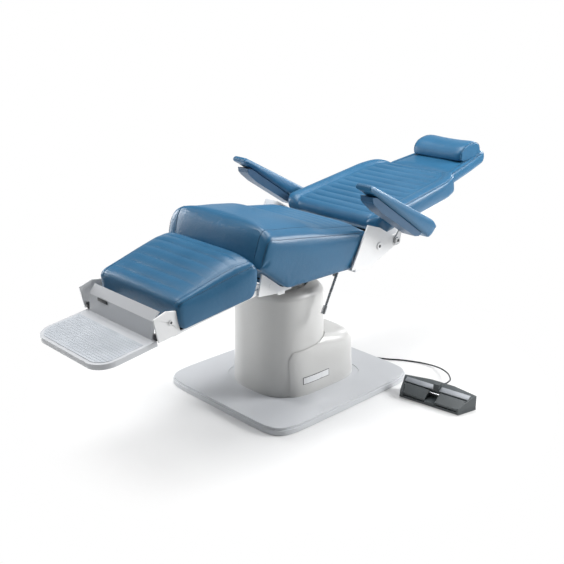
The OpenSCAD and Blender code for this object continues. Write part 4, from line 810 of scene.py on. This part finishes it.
# Footplate and mat
# A moulded plate with a raised rear edge, held by two bolts between the legrest's side plates.
# A grey-blue rubber mat with rows of small square studs is let into its top.
dress(["footplate"], base_plastic, edge=0.0015, crease=25)
mat_rubber = finish("foot_mat_rubber", (0.50, 0.53, 0.57), 0.5, cloud=10, dark=(0.48, 0.51, 0.55),
                    light=(0.53, 0.56, 0.60), gloss=(0.45, 0.56), relief=900, depth=0.00006)
dress(["foot_mat"], mat_rubber, edge=0.0004)
FOOT_AT, FOOT_TURN = (0, -0.745, 0.440), math.radians(7.5)
FOOT = Matrix.Translation(FOOT_AT) @ Matrix.Rotation(FOOT_TURN, 4, "X")
FOOT_HALF, FOOT_L, FOOT_CORNER, MAT_REAR, MAT_EDGE = 0.191, 0.211, 0.066, 0.0485, 0.0185
STUD, STUD_GAP, STUD_ROWS, STUD_COLUMNS = 0.0105, 0.0011, 14, 16
STUD_STEPS = ((STUD / 2 - STUD_GAP / 2, 0.0011), (STUD / 2 - STUD_GAP, 0.0019),
              (STUD / 2 - 2 * STUD_GAP, 0.0022))
SQUARE = ((-1, -1), (1, -1), (1, 1), (-1, 1))


def on_mat(x, y):
    """Whether a stud's place lies within the mat, whose front corners are round."""
    from_corner = math.hypot(max(0, abs(x) - FOOT_HALF + FOOT_CORNER), max(0, -y - FOOT_L + FOOT_CORNER))
    return from_corner <= FOOT_CORNER - MAT_EDGE and abs(x) <= FOOT_HALF - MAT_EDGE


stud_places = [(column * STUD, -MAT_REAR - row * STUD) for row in range(STUD_ROWS)
               for column in range(-STUD_COLUMNS, STUD_COLUMNS + 1)]
stud_points, stud_faces = [], []
for x, y in stud_places:
    if on_mat(x, y):
        start = len(stud_points)
        stud_points += [FOOT @ Vector((x + i * half, y + j * half, z))
                        for half, z in STUD_STEPS for i, j in SQUARE]
        for low in (start, start + 4):
            stud_faces += [[low + i, low + (i + 1) % 4, low + 4 + (i + 1) % 4, low + 4 + i] for i in range(4)]
        stud_faces += [[start + 8 + i for i in range(4)], [start + i for i in (3, 2, 1, 0)]]
mat_studs = new_piece("foot_mat_studs", stud_points, stud_faces, mat_rubber)
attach(mat_studs, "footplate")

# How much of a small plate's least side its rounded edges take
PLATE_EDGE = 0.3


def small_plate(name, low, high, paint, body, to_frame=Matrix()):
    """A thin plate between two corners, with rounded edges, that rides on a body."""
    x0, y0, z0 = low
    x1, y1, z1 = high
    corners = [Vector((x, y, z)) for z in (z0, z1) for x, y in ((x0, y0), (x1, y0), (x1, y1), (x0, y1))]
    faces = [(3, 2, 1, 0), (4, 5, 6, 7), (0, 1, 5, 4), (1, 2, 6, 5), (2, 3, 7, 6), (3, 0, 4, 7)]
    made = new_piece(name, [to_frame @ p for p in corners], faces, paint)
    edge = made.modifiers.new("rounded", "BEVEL")
    edge.width = PLATE_EDGE * min(x1 - x0, y1 - y0, z1 - z0)
    edge.segments = 2
    made.data.shade_smooth()
    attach(made, body)


# On the footplate's riser: a little dark plate on its -X half, and a rubber stop near each end
STOP_X, STOP_HALF = 0.188, 0.010
small_plate("riser_plate", low=(-0.124, -0.7495, 0.486), high=(-0.069, -0.7475, 0.497), paint=dark_plastic,
            body="footplate")
for side, word in SIDES:
    small_plate("riser_stop_" + word, low=(side * STOP_X - STOP_HALF, -0.751, 0.441),
                high=(side * STOP_X + STOP_HALF, -0.738, 0.462), paint=cord_pvc,
                body="footplate")

# Arms
# Each arm is a slim vinyl pad on a moulded shell, on a steel bracket that turns on its bolt in
# the hinge plate.
shell_plastic = finish("blue_shell_plastic", (0.026, 0.085, 0.165), 0.42, coat=0.04, cloud=10,
                       dark=(0.023, 0.078, 0.152), light=(0.030, 0.093, 0.180), gloss=(0.38, 0.47),
                       relief=1100, depth=0.00008)
dress(["arm_support_left", "arm_support_right"], shell_plastic, edge=0.003)
ARM_W, ARM_X, ARM_L, ARM_FRONT, ARM_LOW, ARM_RISE = 0.072, 0.282, 0.377, 0.032, 0.570, 0.250
ARM_TOP = [(0, 0.965), (0.015, 0.99), (0.04, 0.985), (0.96, 0.25), (0.985, 0.215), (1, 0.16)]
ARM_UNDER = [(0, 0.93), (0.015, 0.905), (0.04, 0.885), (0.9, 0.0), (0.93, 0.02), (0.97, 0.07), (1, 0.13)]
ARM_SOFTEN = 0.006
arm_at = places([], step=0.02)
for side, word in SIDES:
    arm_pad, arm_held, _ = cushion(
        "arm_pad_" + word + "_cover", ARM_FRONT + arm_at * ARM_L, rounded_ends(arm_at, ARM_W, share=0.045),
        low=ARM_LOW + ARM_RISE * eased(arm_at, ARM_UNDER, ARM_SOFTEN),
        top=ARM_LOW + ARM_RISE * eased(arm_at, ARM_TOP, ARM_SOFTEN), crown=np.full(len(arm_at), 0.002),
        band=0.008, inner=6, to_frame=Matrix.Translation((side * (ARM_X + ARM_W / 2), 0, 0)))
    swell(arm_pad, arm_held, cap=0.003)
    upholster(arm_pad, "arm_pad_" + word, "arm_" + word)

# Foot switch
# A low dark plastic housing on rubber feet. Its two pedals rock on steel pins, and a lighter
# strip lies along each half of the sloped lid behind them.
switch_top = finish("switch_plastic", (0.055, 0.065, 0.07), 0.4, cloud=14, dark=(0.048, 0.057, 0.061),
                    light=(0.066, 0.078, 0.083), gloss=(0.35, 0.47), relief=1400, depth=0.0001)
dress(["switch_base", "switch_lid", "pedal_left", "pedal_right"], switch_top, edge=0.0012)
dress(["pedal_pins"], chrome, edge=0.0003)
strip_grey = finish("switch_strip_grey", (0.34, 0.36, 0.39), 0.36, cloud=20, dark=(0.31, 0.33, 0.36),
                    light=(0.38, 0.40, 0.43), gloss=(0.3, 0.42), relief=1200, depth=0.00005)
SWITCH_AT, SWITCH_TURN = (0.508, 0.255, 0), math.radians(8)
LID_AT, LID_SLOPE = (0, -0.0043, 0.046), math.radians(26.3)
SWITCH = Matrix.Translation(SWITCH_AT) @ Matrix.Rotation(SWITCH_TURN, 4, "Z")
SLOPE = SWITCH @ Matrix.Translation(LID_AT) @ Matrix.Rotation(LID_SLOPE, 4, "X")
STRIP_Y, STRIP_Z = (0.003, 0.024), (-0.0004, 0.0012)
for name, start, end in (("switch_strip_right", -0.132, -0.0125), ("switch_strip_left", 0.0125, 0.129)):
    small_plate(name, low=(start, STRIP_Y[0], STRIP_Z[0]), high=(end, STRIP_Y[1], STRIP_Z[1]),
                paint=strip_grey, body="base", to_frame=SLOPE)
